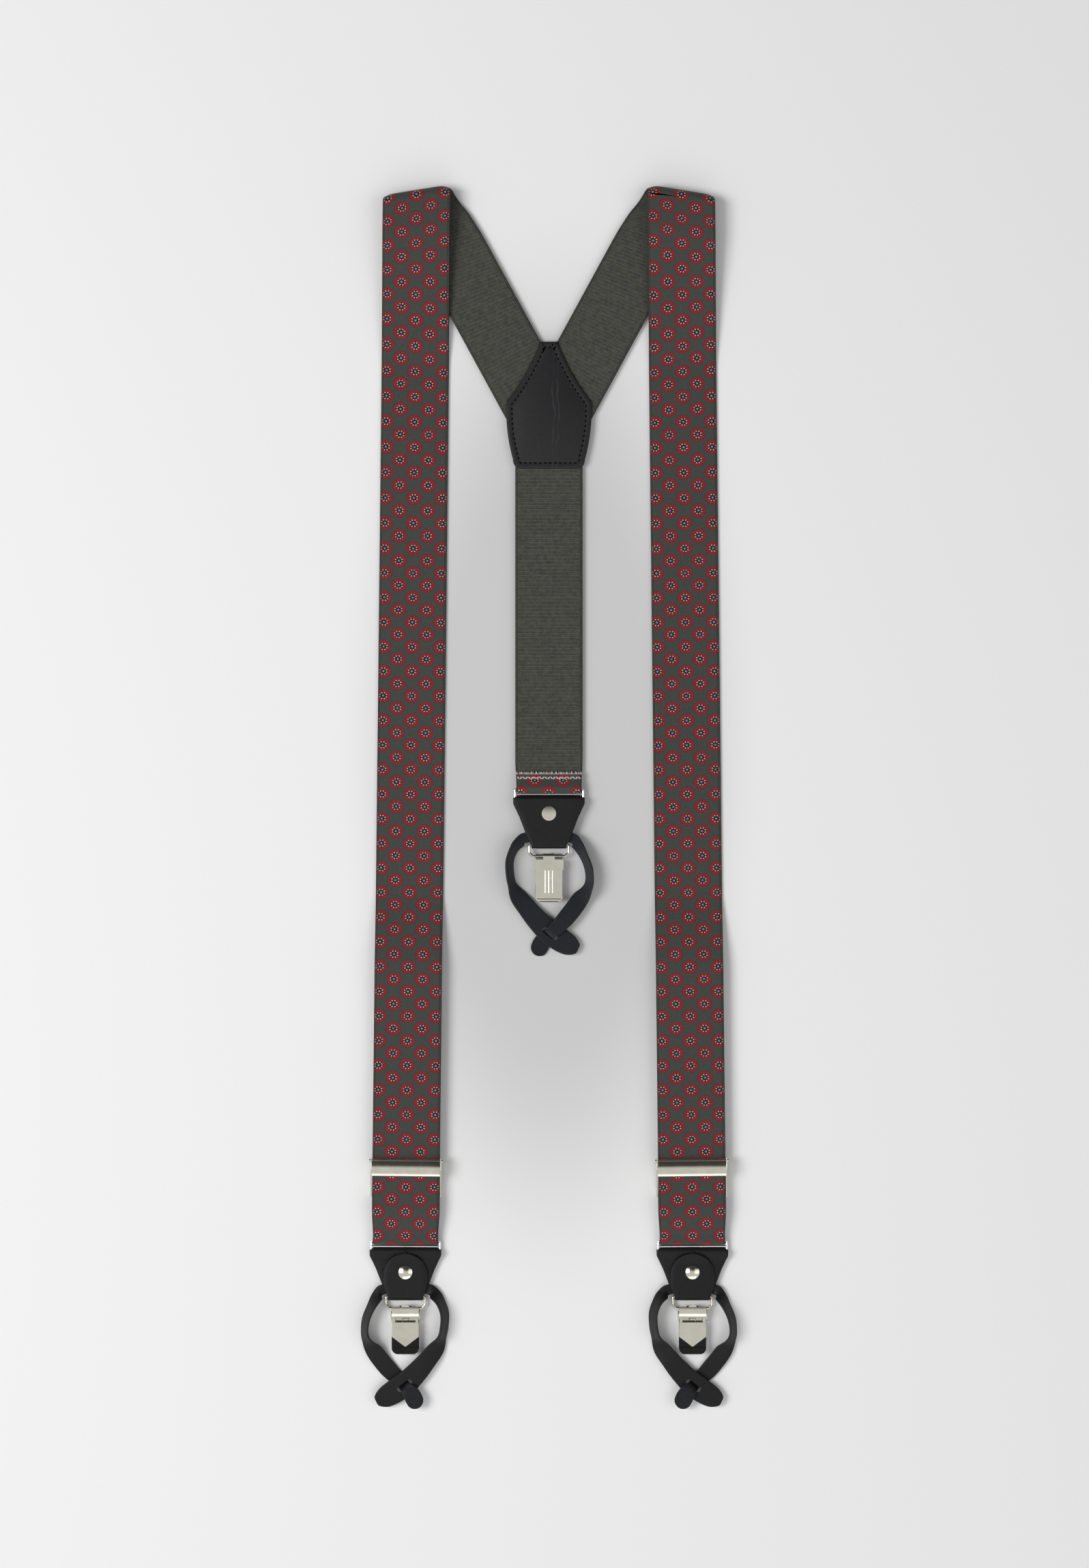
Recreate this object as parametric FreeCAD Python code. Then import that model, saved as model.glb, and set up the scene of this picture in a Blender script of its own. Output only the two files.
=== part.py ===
import FreeCAD, Part
import math
import os

# A pair of convertible dress suspenders laid flat: Z up, +Y towards the shoulders, X across. Millimetres.
# Each shoulder strap is one elastic band: it leaves the leather yoke, folds over at the shoulder, runs
# down, passes through an adjuster and round a wire ring, and is sewn back to the adjuster.

V = FreeCAD.Vector

# Driving sizes
elastic_width = 35.0
elastic_thick = 1.5
leather_thick = 1.3
gap = 0.1

# Yoke and back strap
yoke_z = leather_thick + elastic_thick / 2
yoke_centre_y = 197.0
back_run_angle = 28.6
back_run_cross_y = 192.0
back_ring_y = 1.1
back_hem_end_y = 11.4

# Shoulder fold and front run
fold_radius = 3.6
ring_x = 74.6
ring_y = -233.85
front_tilt = 0.63
front_floor_z = elastic_thick / 2
front_cut = 44.0

# Loop ring: wrapped bars above and below, a thinner bar between them
ring_wire = 0.65
ring_mid_wire = 0.5
bar_rise = 1.0
ring_half = elastic_width / 2 + 0.85
ring_corner = 1.3
bar_clearance = 0.15
elastic_wrap = ring_wire + bar_clearance + elastic_thick / 2
leather_wrap = ring_wire + bar_clearance + leather_thick / 2
ring_upper = elastic_wrap + elastic_thick / 2 + ring_mid_wire + bar_clearance
ring_lower = leather_wrap + leather_thick / 2 + ring_mid_wire + bar_clearance
ring_z = elastic_wrap + elastic_thick / 2 + gap
wrap_half = ring_half - 2 * ring_wire - 0.15

# Adjuster, measured up the strap from the ring's middle bar
strap_pass_z = 6.0
adjuster_y = 41.5
adjuster_half = elastic_width / 2 + 0.25
rail_thick = 0.6
lower_bar = 0.7
lower_bar_y = adjuster_y - 15.0
lower_bar_z = 2.35
pivot_y = adjuster_y + 3.4
knuckle = 1.0
pivot_pin = 0.5
pivot_z = strap_pass_z + elastic_thick / 2 + gap + knuckle

# Leather end tab
end_height = yoke_z + elastic_wrap + ring_z
tongue_z = ring_z - leather_wrap
layer_step = leather_thick + gap
hook_wire = 0.65
hook_bar_y = -26.2
hook_bar_z = tongue_z + layer_step
hook_low_y = -32.3
flap_top_y = -3.5
flap_half = 11.3
tab_half = ring_half + 0.25
stud_y = -13.4
stud_radius = 3.6
rivet_y = -10.05
rivet_radius = 3.7

# Clip
clip_pin_y = -36.6
clip_pin_z = 3.1
clip_pin = 0.5
clip_half = 7.0
clip_sheet = 0.6
clip_low_y = -56.0
lip_radius = 0.55
lip_y = -54.7
lip_z = 0.7

# Button strap
strap_thick = 1.2
arm_width = 8.7
arm_turn = 65.0
arm_centre = 4.65
slot_half = 4.6
slot_y = -72.6


def box(x0, x1, y0, y1, z0, z1):
    return Part.makeBox(x1 - x0, y1 - y0, z1 - z0, V(x0, y0, z0))


def bar(radius, half, y, z):
    return Part.makeCylinder(radius, 2 * half, V(-half, y, z), V(1, 0, 0))


def post(radius, y, z0, z1):
    return Part.makeCylinder(radius, z1 - z0, V(0, y, z0), V(0, 0, 1))


def joined(first, *others):
    return first.fuse(list(others)).removeSplitter()


def heading(angle):
    return V(0, math.cos(math.radians(angle)), math.sin(math.radians(angle)))


def side(angle):
    return V(0, -math.sin(math.radians(angle)), math.cos(math.radians(angle)))


def ribbon(start, angle, moves, thick, half):
    """A band of even thickness in the YZ plane. Moves are ("go", length) or ("turn", radius, degrees)."""
    point = V(0, start[0], start[1])
    left = []
    right = []
    for move in moves:
        if move[0] == "go":
            end = point + heading(angle) * move[1]
            offset = side(angle) * (thick / 2)
            left.append(Part.makeLine(point + offset, end + offset))
            right.append(Part.makeLine(point - offset, end - offset))
            point = end
            continue
        radius = move[1]
        sweep = move[2]
        turn = math.copysign(1, sweep)
        centre = point + side(angle) * (radius * turn)
        for edges, away in ((left, -turn * thick / 2), (right, turn * thick / 2)):
            spots = []
            for share in (0, 0.5, 1):
                out = side(angle + sweep * share) * (-turn)
                spots.append(centre + out * (radius + away))
            edges.append(Part.Arc(*spots).toShape())
        angle += sweep
        point = centre - side(angle) * (radius * turn)
    first = left[0].Vertexes[0].Point
    last = left[-1].Vertexes[-1].Point
    other_last = right[-1].Vertexes[-1].Point
    other_first = right[0].Vertexes[0].Point
    edges = left + [Part.makeLine(last, other_last)] + right + [Part.makeLine(other_first, first)]
    face = Part.Face(Part.Wire(Part.__sortEdges__(edges)))
    face.translate(V(-half, 0, 0))
    return face.extrude(V(2 * half, 0, 0))


def rise(height, angle, radius):
    """The moves of an S bend that climbs by height (down when negative), and the length it covers."""
    turn = math.copysign(angle, height)
    a = math.radians(angle)
    straight = (abs(height) - 2 * radius * (1 - math.cos(a))) / math.sin(a)
    covered = 2 * radius * math.sin(a) + straight * math.cos(a)
    return [("turn", radius, turn), ("go", straight), ("turn", radius, -turn)], covered


def outline(points):
    """A closed flat wire in XY. A point given with a third value is the middle of an arc."""
    edges = []
    count = len(points)
    at = 0
    while at < count:
        here = V(points[at][0], points[at][1], 0)
        after = points[(at + 1) % count]
        if len(after) == 3:
            end = points[(at + 2) % count]
            edges.append(Part.Arc(here, V(after[0], after[1], 0), V(end[0], end[1], 0)).toShape())
            at += 2
        else:
            edges.append(Part.makeLine(here, V(after[0], after[1], 0)))
            at += 1
    return Part.Wire(edges)


def both_sides(points):
    """The right half of an outline, listed from the top down, closed by its mirror image."""
    left = [(-p[0],) + tuple(p[1:]) for p in reversed(points)]
    return points + left


def slab(points, z0, z1):
    face = Part.Face(outline(points))
    face.translate(V(0, 0, z0))
    return face.extrude(V(0, 0, z1 - z0))


def bent_wire(corners, bend, radius, z):
    """A closed loop of round wire in a level plane, with its corners bent to one radius."""
    edges = []
    ends = []
    count = len(corners)
    for i in range(count):
        here = V(corners[i][0], corners[i][1], z)
        back = (V(corners[i - 1][0], corners[i - 1][1], z) - here).normalize()
        onward = V(corners[(i + 1) % count][0], corners[(i + 1) % count][1], z) - here
        onward.normalize()
        half = back.getAngle(onward) / 2
        reach = bend / math.tan(half)
        toward = (back + onward).normalize()
        middle = here + toward * (bend / math.sin(half) - bend)
        ends.append((here + back * reach, middle, here + onward * reach))
    for i in range(count):
        start, middle, stop = ends[i]
        edges.append(Part.Arc(start, middle, stop).toShape())
        edges.append(Part.makeLine(stop, ends[(i + 1) % count][0]))
    begin = edges[-1].Vertexes[0].Point
    along = edges[-1].Vertexes[1].Point - begin
    ring = Part.Wire([Part.makeCircle(radius, begin, along)])
    path = Part.Wire([edges[-1]] + edges[:-1])
    return path.makePipeShell([ring], True, False)


def strap_placed(shape):
    """From the left strap's own frame (Y up the strap from the ring) to its place."""
    shape = shape.copy()
    shape.rotate(V(0, 0, 0), V(0, 0, 1), -front_tilt)
    shape.translate(V(-ring_x, ring_y, 0))
    return shape


def ring_placed(shape):
    """The ring shares the small angle between the strap and the end tab evenly between the two."""
    shape = shape.copy()
    shape.rotate(V(0, 0, 0), V(0, 0, 1), -front_tilt / 2)
    shape.translate(V(-ring_x, ring_y, 0))
    return shape


def end_placed(shape):
    shape = shape.copy()
    shape.translate(V(-ring_x, ring_y, 0))
    return shape


def back_placed(shape):
    """The back end is the same assembly turned over, so that its rear faces the viewer."""
    shape = shape.copy()
    shape.rotate(V(0, 0, end_height / 2), V(0, 1, 0), 180)
    shape.translate(V(0, back_ring_y, 0))
    return shape


def mirrored(shape):
    return shape.mirror(V(0, 0, 0), V(1, 0, 0))


# Yoke and back strap

def yoke_outline():
    half = [
        (3.2, 236.3),
        (4.7, 235.6, "arc"),
        (5.5, 233.6),
        (12.1, 219.9, "arc"),
        (20.6, 206.9),
        (22.1, 204.4, "arc"),
        (22.2, 200.8),
        (21.3, 187.5, "arc"),
        (18.7, 175.2),
        (17.4, 171.6, "arc"),
        (14.7, 170.2),
    ]
    return both_sides(half)


def yoke_leather(z0):
    return slab(yoke_outline(), z0, z0 + leather_thick)


def back_run_direction():
    a = math.radians(back_run_angle)
    return V(-math.sin(a), math.cos(a), 0)


def front_run_direction():
    a = math.radians(front_tilt)
    return V(-math.sin(a), -math.cos(a), 0)


def fold_line():
    """The left fold: where the back run starts to turn, where the front run leaves it, and its direction."""
    up = back_run_direction()
    down = front_run_direction()
    along = (up + down).normalize() * (-1)
    normal = V(-along.y, along.x, 0)
    drift = along * (math.pi * fold_radius * up.dot(along) / up.dot(normal))
    origin = V(0, back_run_cross_y, 0) + drift - V(-ring_x, ring_y, 0)
    det = up.x * down.y - up.y * down.x
    reach = -(origin.x * down.y - origin.y * down.x) / det
    start = V(0, back_run_cross_y, 0) + up * reach
    return start, start + drift, along, normal


def cut_above(shape, point, along, normal):
    """Keep what lies on the low side of a line in the XY plane."""
    far = 200
    corners = [
        point - along * far,
        point + along * far,
        point + along * far + normal * far,
        point - along * far + normal * far,
    ]
    wire = Part.makePolygon([V(c.x, c.y, -50) for c in corners] + [V(corners[0].x, corners[0].y, -50)])
    return shape.cut(Part.Face(wire).extrude(V(0, 0, 100)))


def back_run():
    """The left band from the yoke to the fold. It butts against its twin on the centre line."""
    z0 = yoke_z - elastic_thick / 2
    band = box(-elastic_width / 2, elastic_width / 2, -60, 220, z0, z0 + elastic_thick)
    band.rotate(V(0, 0, 0), V(0, 0, 1), back_run_angle)
    band.translate(V(0, back_run_cross_y, 0))
    start, _, along, normal = fold_line()
    band = cut_above(band, start, along, normal)
    hidden = yoke_centre_y + gap
    return band.cut(box(-gap / 2, 200, -200, 500, -10, 10)).cut(box(-200, 200, -200, hidden, -10, 10))


def back_strap():
    """The back band from the yoke down, round the back ring and up again to its raw sewn end."""
    wrap_y = back_ring_y + ring_upper
    over = elastic_wrap * 2 - elastic_thick - gap
    descent, covered = rise(-over, 24, 3.0)
    moves = [("go", yoke_centre_y - wrap_y), ("turn", elastic_wrap, -180), ("go", 0.3)]
    moves += descent
    moves += [("go", back_hem_end_y - wrap_y - 0.3 - covered)]
    body = ribbon((yoke_centre_y, yoke_z), 180, moves, elastic_thick, elastic_width / 2)
    narrow = box(-wrap_half, wrap_half, -50, wrap_y + 1.5, -10, 20)
    return joined(body.common(narrow), body.common(box(-50, 50, wrap_y + 1.5, 300, -10, 20)))


def fold_sweep(start, along, normal, depth):
    """A solid half turn on a slant about the fold's axis, with slanting ends, of the given depth."""
    up = back_run_direction()
    slant = up.dot(along) / up.dot(normal)
    half = elastic_width / 2 / up.dot(normal)
    sections = []
    steps = 8
    for i in range(steps + 1):
        turn = math.pi * i / steps
        out = normal * math.sin(turn) + V(0, 0, -math.cos(turn))
        middle = start + along * (fold_radius * turn * slant) + V(0, 0, yoke_z + fold_radius)
        corners = []
        for end, way in ((-1, -1), (1, -1), (1, 1), (-1, 1)):
            at = middle + along * (half * end) + out * (fold_radius + way * depth / 2)
            corners.append(at)
        sections.append(Part.makePolygon(corners + [corners[0]]))
    return Part.makeLoft(sections, True, True)


def fold():
    """The left strap's turn over the shoulder: the band lies on a cylinder and drifts along it."""
    start, leave, along, normal = fold_line()
    reach = elastic_width + (leave - start).Length
    foot = start - along * reach + V(0, 0, yoke_z + fold_radius)
    outer = Part.makeCylinder(fold_radius + elastic_thick / 2, 2 * reach, foot, along)
    inner = Part.makeCylinder(fold_radius - elastic_thick / 2, 2 * reach, foot, along)
    return outer.cut(inner).common(fold_sweep(start, along, normal, 2 * elastic_thick))


def front_run():
    """The left front band in the strap's frame: down from the fold, along the floor, up to the adjuster."""
    _, leave, along, normal = fold_line()
    top = ((leave.x + ring_x) ** 2 + (leave.y - ring_y) ** 2) ** 0.5
    high = yoke_z + 2 * fold_radius
    climb, climb_length = rise(strap_pass_z - front_floor_z, 9, 50)
    drop, drop_length = rise(high - front_floor_z, 7, 60)
    level = 100
    rest = top - 14 - drop_length - front_cut - level - climb_length
    moves = [("go", level)]
    moves += [("turn", m[1], -m[2]) if m[0] == "turn" else m for m in climb]
    moves += [("go", rest)]
    moves += drop
    moves += [("go", 30)]
    body = ribbon((front_cut, strap_pass_z), 0, moves, elastic_thick, elastic_width / 2)
    return cut_above(strap_placed(body), leave, along, normal)


def loop():
    """The rest of the left strap: through the adjuster, round the ring, and back to a sewn loop."""
    over = strap_pass_z - (ring_z + elastic_wrap)
    descent, covered = rise(-over, 9, 8.0)
    tail_wrap = lower_bar + 0.2 + elastic_thick / 2
    rear_z = ring_z - elastic_wrap
    lift = lower_bar_z - tail_wrap - rear_z
    tail_drop, tail_covered = rise(2 * tail_wrap - elastic_thick - gap, 30, 2.0)
    moves = [("go", front_cut - gap - ring_upper - 3.0 - covered)]
    moves += [("turn", m[1], -m[2]) if m[0] == "turn" else m for m in descent]
    moves += [("go", 3.0), ("turn", elastic_wrap, 180)]
    moves += [("go", lower_bar_y - ring_upper), ("turn", tail_wrap, 180)]
    moves += [("go", 0.5)]
    moves += tail_drop
    moves += [("go", 8.0)]
    body = ribbon((front_cut - gap, strap_pass_z), 180, moves, elastic_thick, elastic_width / 2)
    low = ring_upper + 3.0
    parts = [body.common(box(-wrap_half, wrap_half, -20, low, -10, 20))]
    parts.append(body.common(box(-elastic_width / 2, elastic_width / 2, low, 100, -10, 20)))
    return joined(*parts)


# Hardware

def loop_ring():
    """A wire ring with a thinner cross bar that keeps the elastic and the leather apart."""
    half = ring_half - ring_wire
    corners = [(-half, -ring_lower), (half, -ring_lower), (half, ring_upper), (-half, ring_upper)]
    frame = bent_wire(corners, ring_corner, ring_wire, ring_z)
    rib = box(-half, half, -ring_mid_wire, ring_mid_wire, ring_z, ring_z + bar_rise)
    return joined(frame, bar(ring_mid_wire, half, 0, ring_z), rib, bar(ring_mid_wire, half, 0, ring_z + bar_rise))


def rail_profile(x):
    spots = [
        (lower_bar_y - 1.1, 1.3),
        (lower_bar_y + 2.0, 1.1),
        (adjuster_y + 1.0, 3.0),
        (pivot_y + 1.3, 5.5),
        (pivot_y + 1.3, pivot_z + 0.7),
        (pivot_y - 1.3, pivot_z + 0.7),
        (adjuster_y - 1.5, 6.4),
        (lower_bar_y - 1.1, 3.5),
    ]
    points = [V(x, y, z) for y, z in spots]
    return Part.Face(Part.makePolygon(points + [points[0]])).extrude(V(rail_thick, 0, 0))


def adjuster_frame():
    """Two side rails joined by a bar for the sewn loop and a bar under the sliding strap."""
    outer = adjuster_half + rail_thick
    pieces = [rail_profile(adjuster_half), rail_profile(-outer)]
    pieces.append(bar(lower_bar, adjuster_half + 0.3, lower_bar_y, lower_bar_z))
    under_z = strap_pass_z - elastic_thick / 2 - 0.3 - lower_bar
    pieces.append(bar(lower_bar, adjuster_half + 0.3, adjuster_y, under_z))
    frame = joined(*pieces)
    return frame.cut(bar(pivot_pin + 0.05, 30, pivot_y, pivot_z))


def adjuster_lever():
    """The clamp plate: a convex plate curled round the pin, with a toothed ridge over the strap."""
    half = adjuster_half - 0.1
    low = adjuster_y - 4.4
    top_z = pivot_z + knuckle
    plate = [
        V(-half, pivot_y, top_z),
        V(-half, adjuster_y - 0.5, top_z + 0.95),
        V(-half, low, top_z + 0.05),
    ]
    inner = [V(-half, low, top_z - 0.7), V(-half, adjuster_y, top_z + 0.2), V(-half, pivot_y, top_z - 0.8)]
    edges = [
        Part.Arc(*plate).toShape(),
        Part.makeLine(plate[2], inner[0]),
        Part.Arc(*inner).toShape(),
        Part.makeLine(inner[2], plate[0]),
    ]
    body = Part.Face(Part.Wire(edges)).extrude(V(2 * half, 0, 0))
    curl = bar(knuckle, half, pivot_y, pivot_z)
    ridge = box(-half, half, pivot_y - 2.6, pivot_y - 0.4, strap_pass_z + elastic_thick / 2 + gap, pivot_z)
    body = joined(body, curl, ridge)
    return body.cut(bar(pivot_pin + 0.05, 30, pivot_y, pivot_z))


def adjuster_pin():
    shaft = bar(pivot_pin, adjuster_half + rail_thick + 0.1, pivot_y, pivot_z)
    heads = []
    for way in (-1, 1):
        x = way * (adjuster_half + rail_thick + 0.05)
        heads.append(Part.makeCylinder(0.9, 0.6, V(x, pivot_y, pivot_z), V(way, 0, 0)))
    return joined(shaft, *heads)


# Leather end tab with its stud and rivet

def tab_shape():
    """What the tab fills seen from above: the wrap fits inside the ring, the layers cover its corners."""
    half = [
        (wrap_half, 2),
        (wrap_half, -ring_lower - 1.2),
        (tab_half, -ring_lower - 2.2),
        (11.65, -21.6),
        (9.0, hook_bar_y),
        (9.0, -27.6),
        (8.4, -28.6),
    ]
    over_ring = ring_z + ring_wire + gap
    under_ring = ring_z - ring_wire - gap
    front = box(-tab_half, tab_half, -ring_lower - 2.3, -ring_lower - 0.05, over_ring, 8)
    rear = box(-tab_half, tab_half, -ring_lower - 2.3, -ring_lower - 0.05, -1, under_ring)
    return joined(slab(both_sides(half), -1, 8), front, rear)


def flap_outline():
    """Straight sides and a half-round top."""
    centre_y = flap_top_y - flap_half
    sides = [(flap_half, centre_y), (flap_half, -20.5), (9.0, hook_bar_y)]
    return both_sides(sides) + [(0, flap_top_y, "arc")]


def end_tab():
    """One leather piece: under layer, round the ring, down behind, round the hook ring, up as the flap."""
    bump = 2 * leather_wrap - layer_step
    climb, covered = rise(bump, 20, 3.0)
    lap_end = -19.5
    lap_z = tongue_z + layer_step
    moves = [("go", -ring_lower - covered - lap_end)]
    moves += climb
    moves += [("turn", leather_wrap, -180)]
    moves += [("go", -ring_lower - hook_bar_y), ("turn", layer_step, -180)]
    layers = ribbon((lap_end, lap_z), 0, moves, leather_thick, 25)
    layers = layers.common(tab_shape())
    flap_z = lap_z + layer_step
    flap_start = -ring_lower - covered - 0.75
    flap_moves = [("go", flap_start - hook_bar_y)]
    flap_moves += climb
    flap_moves += [("go", 1.0)]
    flap = ribbon((hook_bar_y, flap_z), 0, flap_moves, leather_thick, 25)
    flap = flap.common(slab(flap_outline(), -1, 8))
    tab = joined(layers, flap)
    tab = tab.cut(post(1.3, stud_y, flap_z - 1, 8))
    tab = tab.cut(post(2.1, stud_y, tongue_z + leather_thick / 2, flap_z - leather_thick / 2 + 0.02))
    return tab.cut(post(1.3, rivet_y, -1, flap_z - leather_thick / 2 - 0.02))


def dome(radius, height, y, z):
    """A low cap: the part of a ball above its base circle, on the +Z side."""
    ball = (radius * radius + height * height) / (2 * height)
    cap = Part.makeSphere(ball, V(0, y, z + height - ball))
    return cap.common(box(-radius - 1, radius + 1, y - radius - 1, y + radius + 1, z, z + height + 1))


def stud_cap():
    top = tongue_z + 2 * layer_step + leather_thick / 2
    return joined(post(stud_radius, stud_y, top, top + 0.35), dome(stud_radius, 1.0, stud_y, top + 0.35),
                  post(1.2, stud_y, tongue_z + 1.1, top + 0.1))


def stud_base():
    low = tongue_z + leather_thick / 2 + 0.03
    high = tongue_z + layer_step + leather_thick / 2 + 0.05
    socket = post(2.0, stud_y, low, high)
    return socket.cut(post(1.25, stud_y, low + 0.25, high + 1))


def tab_rivet():
    """The rivet through the lap and the tongue; its cap shows on the rear."""
    low = tongue_z - leather_thick / 2
    cap = dome(rivet_radius, 0.22, 0, 0)
    cap.rotate(V(0, 0, 0), V(1, 0, 0), 180)
    cap.translate(V(0, rivet_y, low))
    top = tongue_z + layer_step + leather_thick / 2
    return joined(cap, post(1.2, rivet_y, low - 0.05, top + 0.06))


# Hook ring and clip

def clip_ring():
    wide = 10.2
    low = hook_low_y + 1.9
    corners = [(-wide, low), (-8.4, hook_low_y), (8.4, hook_low_y), (wide, low), (wide, hook_bar_y),
               (-wide, hook_bar_y)]
    return bent_wire(corners, 1.15, hook_wire, hook_bar_z)


def clip_ear(x, thick, reach):
    spots = [(clip_pin_y - reach, clip_pin_z - 2.2), (clip_pin_y + reach, clip_pin_z - 2.2),
             (clip_pin_y + 1.3, clip_pin_z + 1.2), (clip_pin_y - 1.3, clip_pin_z + 1.2)]
    points = [V(x, y, z) for y, z in spots]
    return Part.Face(Part.makePolygon(points + [points[0]])).extrude(V(thick, 0, 0))


def clip_rear_jaw():
    """Rear half of the clip: ribbed plate, eye round the hook ring, two ears, a turned-up lip."""
    low_z = 0.4
    half = [(clip_half, -33.9), (clip_half, -53.5), (6.6, -54.9, "arc"), (5.4, -55.5)]
    plate = slab(both_sides(half), low_z, low_z + clip_sheet)
    neck = box(-3, 3, -34.2, hook_low_y + 0.2, low_z, hook_bar_z - hook_wire - 0.2)
    eye = bar(hook_wire + 0.75, 3, hook_low_y, hook_bar_z)
    pieces = [plate, neck, eye]
    for x in (-clip_half - 0.6, clip_half):
        pieces.append(clip_ear(x, 0.6, 2.6))
        pieces.append(box(x, x + 0.6, clip_pin_y - 2.6, clip_pin_y + 2.6, low_z, clip_pin_z - 2.1))
    pieces.append(box(-3.5, 3.5, -52.0, -38.8, low_z - 0.2, low_z))
    for i in (-1, 0, 1):
        pieces.append(Part.makeCylinder(0.4, 11.5, V(i * 1.9, -51.2, low_z + 0.05), V(0, 1, 0)))
    pieces.append(bar(lip_radius, 6.2, lip_y, lip_z))
    jaw = joined(*pieces)
    jaw = jaw.cut(bar(hook_wire + gap, 9, hook_low_y, hook_bar_z))
    return jaw.cut(bar(clip_pin + 0.03, 20, clip_pin_y, clip_pin_z))


def clip_rear_pad():
    half = [(6.4, -51.4), (6.4, -54.0), (5.8, -55.1, "arc"), (4.6, -55.4)]
    return slab(both_sides(half), 1.0, 2.55).cut(bar(lip_radius + 0.03, 8, lip_y, lip_z))


def jaw_plate_z():
    return clip_pin_z + 1.25


def thumb_lever(z):
    """A curved plate that rises from the pin towards the hook ring, with a small nib on its free edge."""
    low = clip_pin_y - 0.6
    outer = [V(-7.0, low, z + 0.2), V(-7.0, clip_pin_y + 2.0, z + 1.55), V(-7.0, -31.3, z + 1.6)]
    inner = [V(-7.0, -31.3, z + 1.05), V(-7.0, clip_pin_y + 2.1, z + 1.0), V(-7.0, low, z - 0.4)]
    edges = [
        Part.Arc(*outer).toShape(),
        Part.makeLine(outer[2], inner[0]),
        Part.Arc(*inner).toShape(),
        Part.makeLine(inner[2], outer[0]),
    ]
    plate = Part.Face(Part.Wire(edges)).extrude(V(14.0, 0, 0))
    nib = slab([(2.1, -31.5), (2.1, -31.0), (0, -30.1, "arc"), (-2.1, -31.0), (-2.1, -31.5)], z + 1.05, z + 1.6)
    return joined(plate, nib)


def clip_front_jaw():
    """Front half: pointed cover plate, inner ears on the pin, and a raised thumb lever."""
    z = jaw_plate_z()
    cover = [
        (6.9, -39.4),
        (7.0, -46.8),
        (0.5, -51.7),
        (0, -51.9, "arc"),
        (-0.5, -51.7),
        (-7.0, -46.8),
        (-6.9, -39.4),
    ]
    pieces = [slab(cover, z, z + clip_sheet), thumb_lever(z)]
    for x in (-6.7, 5.3):
        pieces.append(box(x, x + 1.4, -39.5, clip_pin_y, z - 0.4, z + 0.25))
    for x in (-6.7, 6.1):
        pieces.append(box(x, x + 0.6, clip_pin_y - 1.2, clip_pin_y + 1.2, clip_pin_z - 1.0, z + 0.1))
    jaw = joined(*pieces)
    return jaw.cut(bar(clip_pin + 0.05, 20, clip_pin_y, clip_pin_z))


def clip_front_pad():
    """The black jaw under the cover plate, with the grip lip that meets the rear pad."""
    z = jaw_plate_z()
    half = [(6.2, -45.5), (7.1, -47.0), (7.1, -52.6), (6.3, -54.9, "arc"), (4.2, clip_low_y)]
    body = slab(both_sides(half), z - 0.65, z - 0.02)
    lip = box(-6.0, 6.0, -54.8, -51.6, 2.6, z - 0.1)
    edge = [(6.9, -52.4), (6.9, -52.9), (6.1, -54.8, "arc"), (4.1, -55.8)]
    ridge = slab(both_sides(edge), z - 0.1, z + 0.5)
    return joined(body, lip, ridge)


def clip_pin_piece():
    return bar(clip_pin, clip_half + 0.75, clip_pin_y, clip_pin_z)


def clip_spring():
    """A close-wound torsion spring on the pin, with one leg towards each half of the clip."""
    wire = 0.22
    coil = 0.85
    turns = 9
    step = 0.4
    first = -step * (turns - 1) / 2
    rings = []
    for i in range(turns):
        rings.append(Part.makeTorus(coil, wire, V(first + i * step, 0, 0), V(1, 0, 0)))
    low = Part.makeCylinder(wire, 3.0, V(first, 0, -coil), V(0, -1, -0.08))
    high = Part.makeCylinder(wire, 2.2, V(-first, 0, -coil), V(0, -1, 0.6))
    spring = joined(*rings, low, high)
    spring.translate(V(0, clip_pin_y, clip_pin_z))
    return spring


# Button strap

def band_section(x, y, z, facing, turn, pitch, width):
    """One cross-section of the leather band. Facing is its heading in XY, turn its roll on edge."""
    a = math.radians(facing)
    b = math.radians(pitch)
    c = math.radians(turn)
    ahead = V(math.cos(a) * math.cos(b), math.sin(a) * math.cos(b), math.sin(b))
    across = V(-math.sin(a), math.cos(a), 0)
    normal = ahead.cross(across)
    wide = across * math.cos(c) + normal * math.sin(c)
    deep = ahead.cross(wide)
    corners = []
    for s, t in ((-1, -1), (1, -1), (1, 1), (-1, 1)):
        corners.append(V(x, y, z) + wide * (width / 2 * s) + deep * (strap_thick / 2 * t))
    return Part.makePolygon(corners + [corners[0]])


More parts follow.
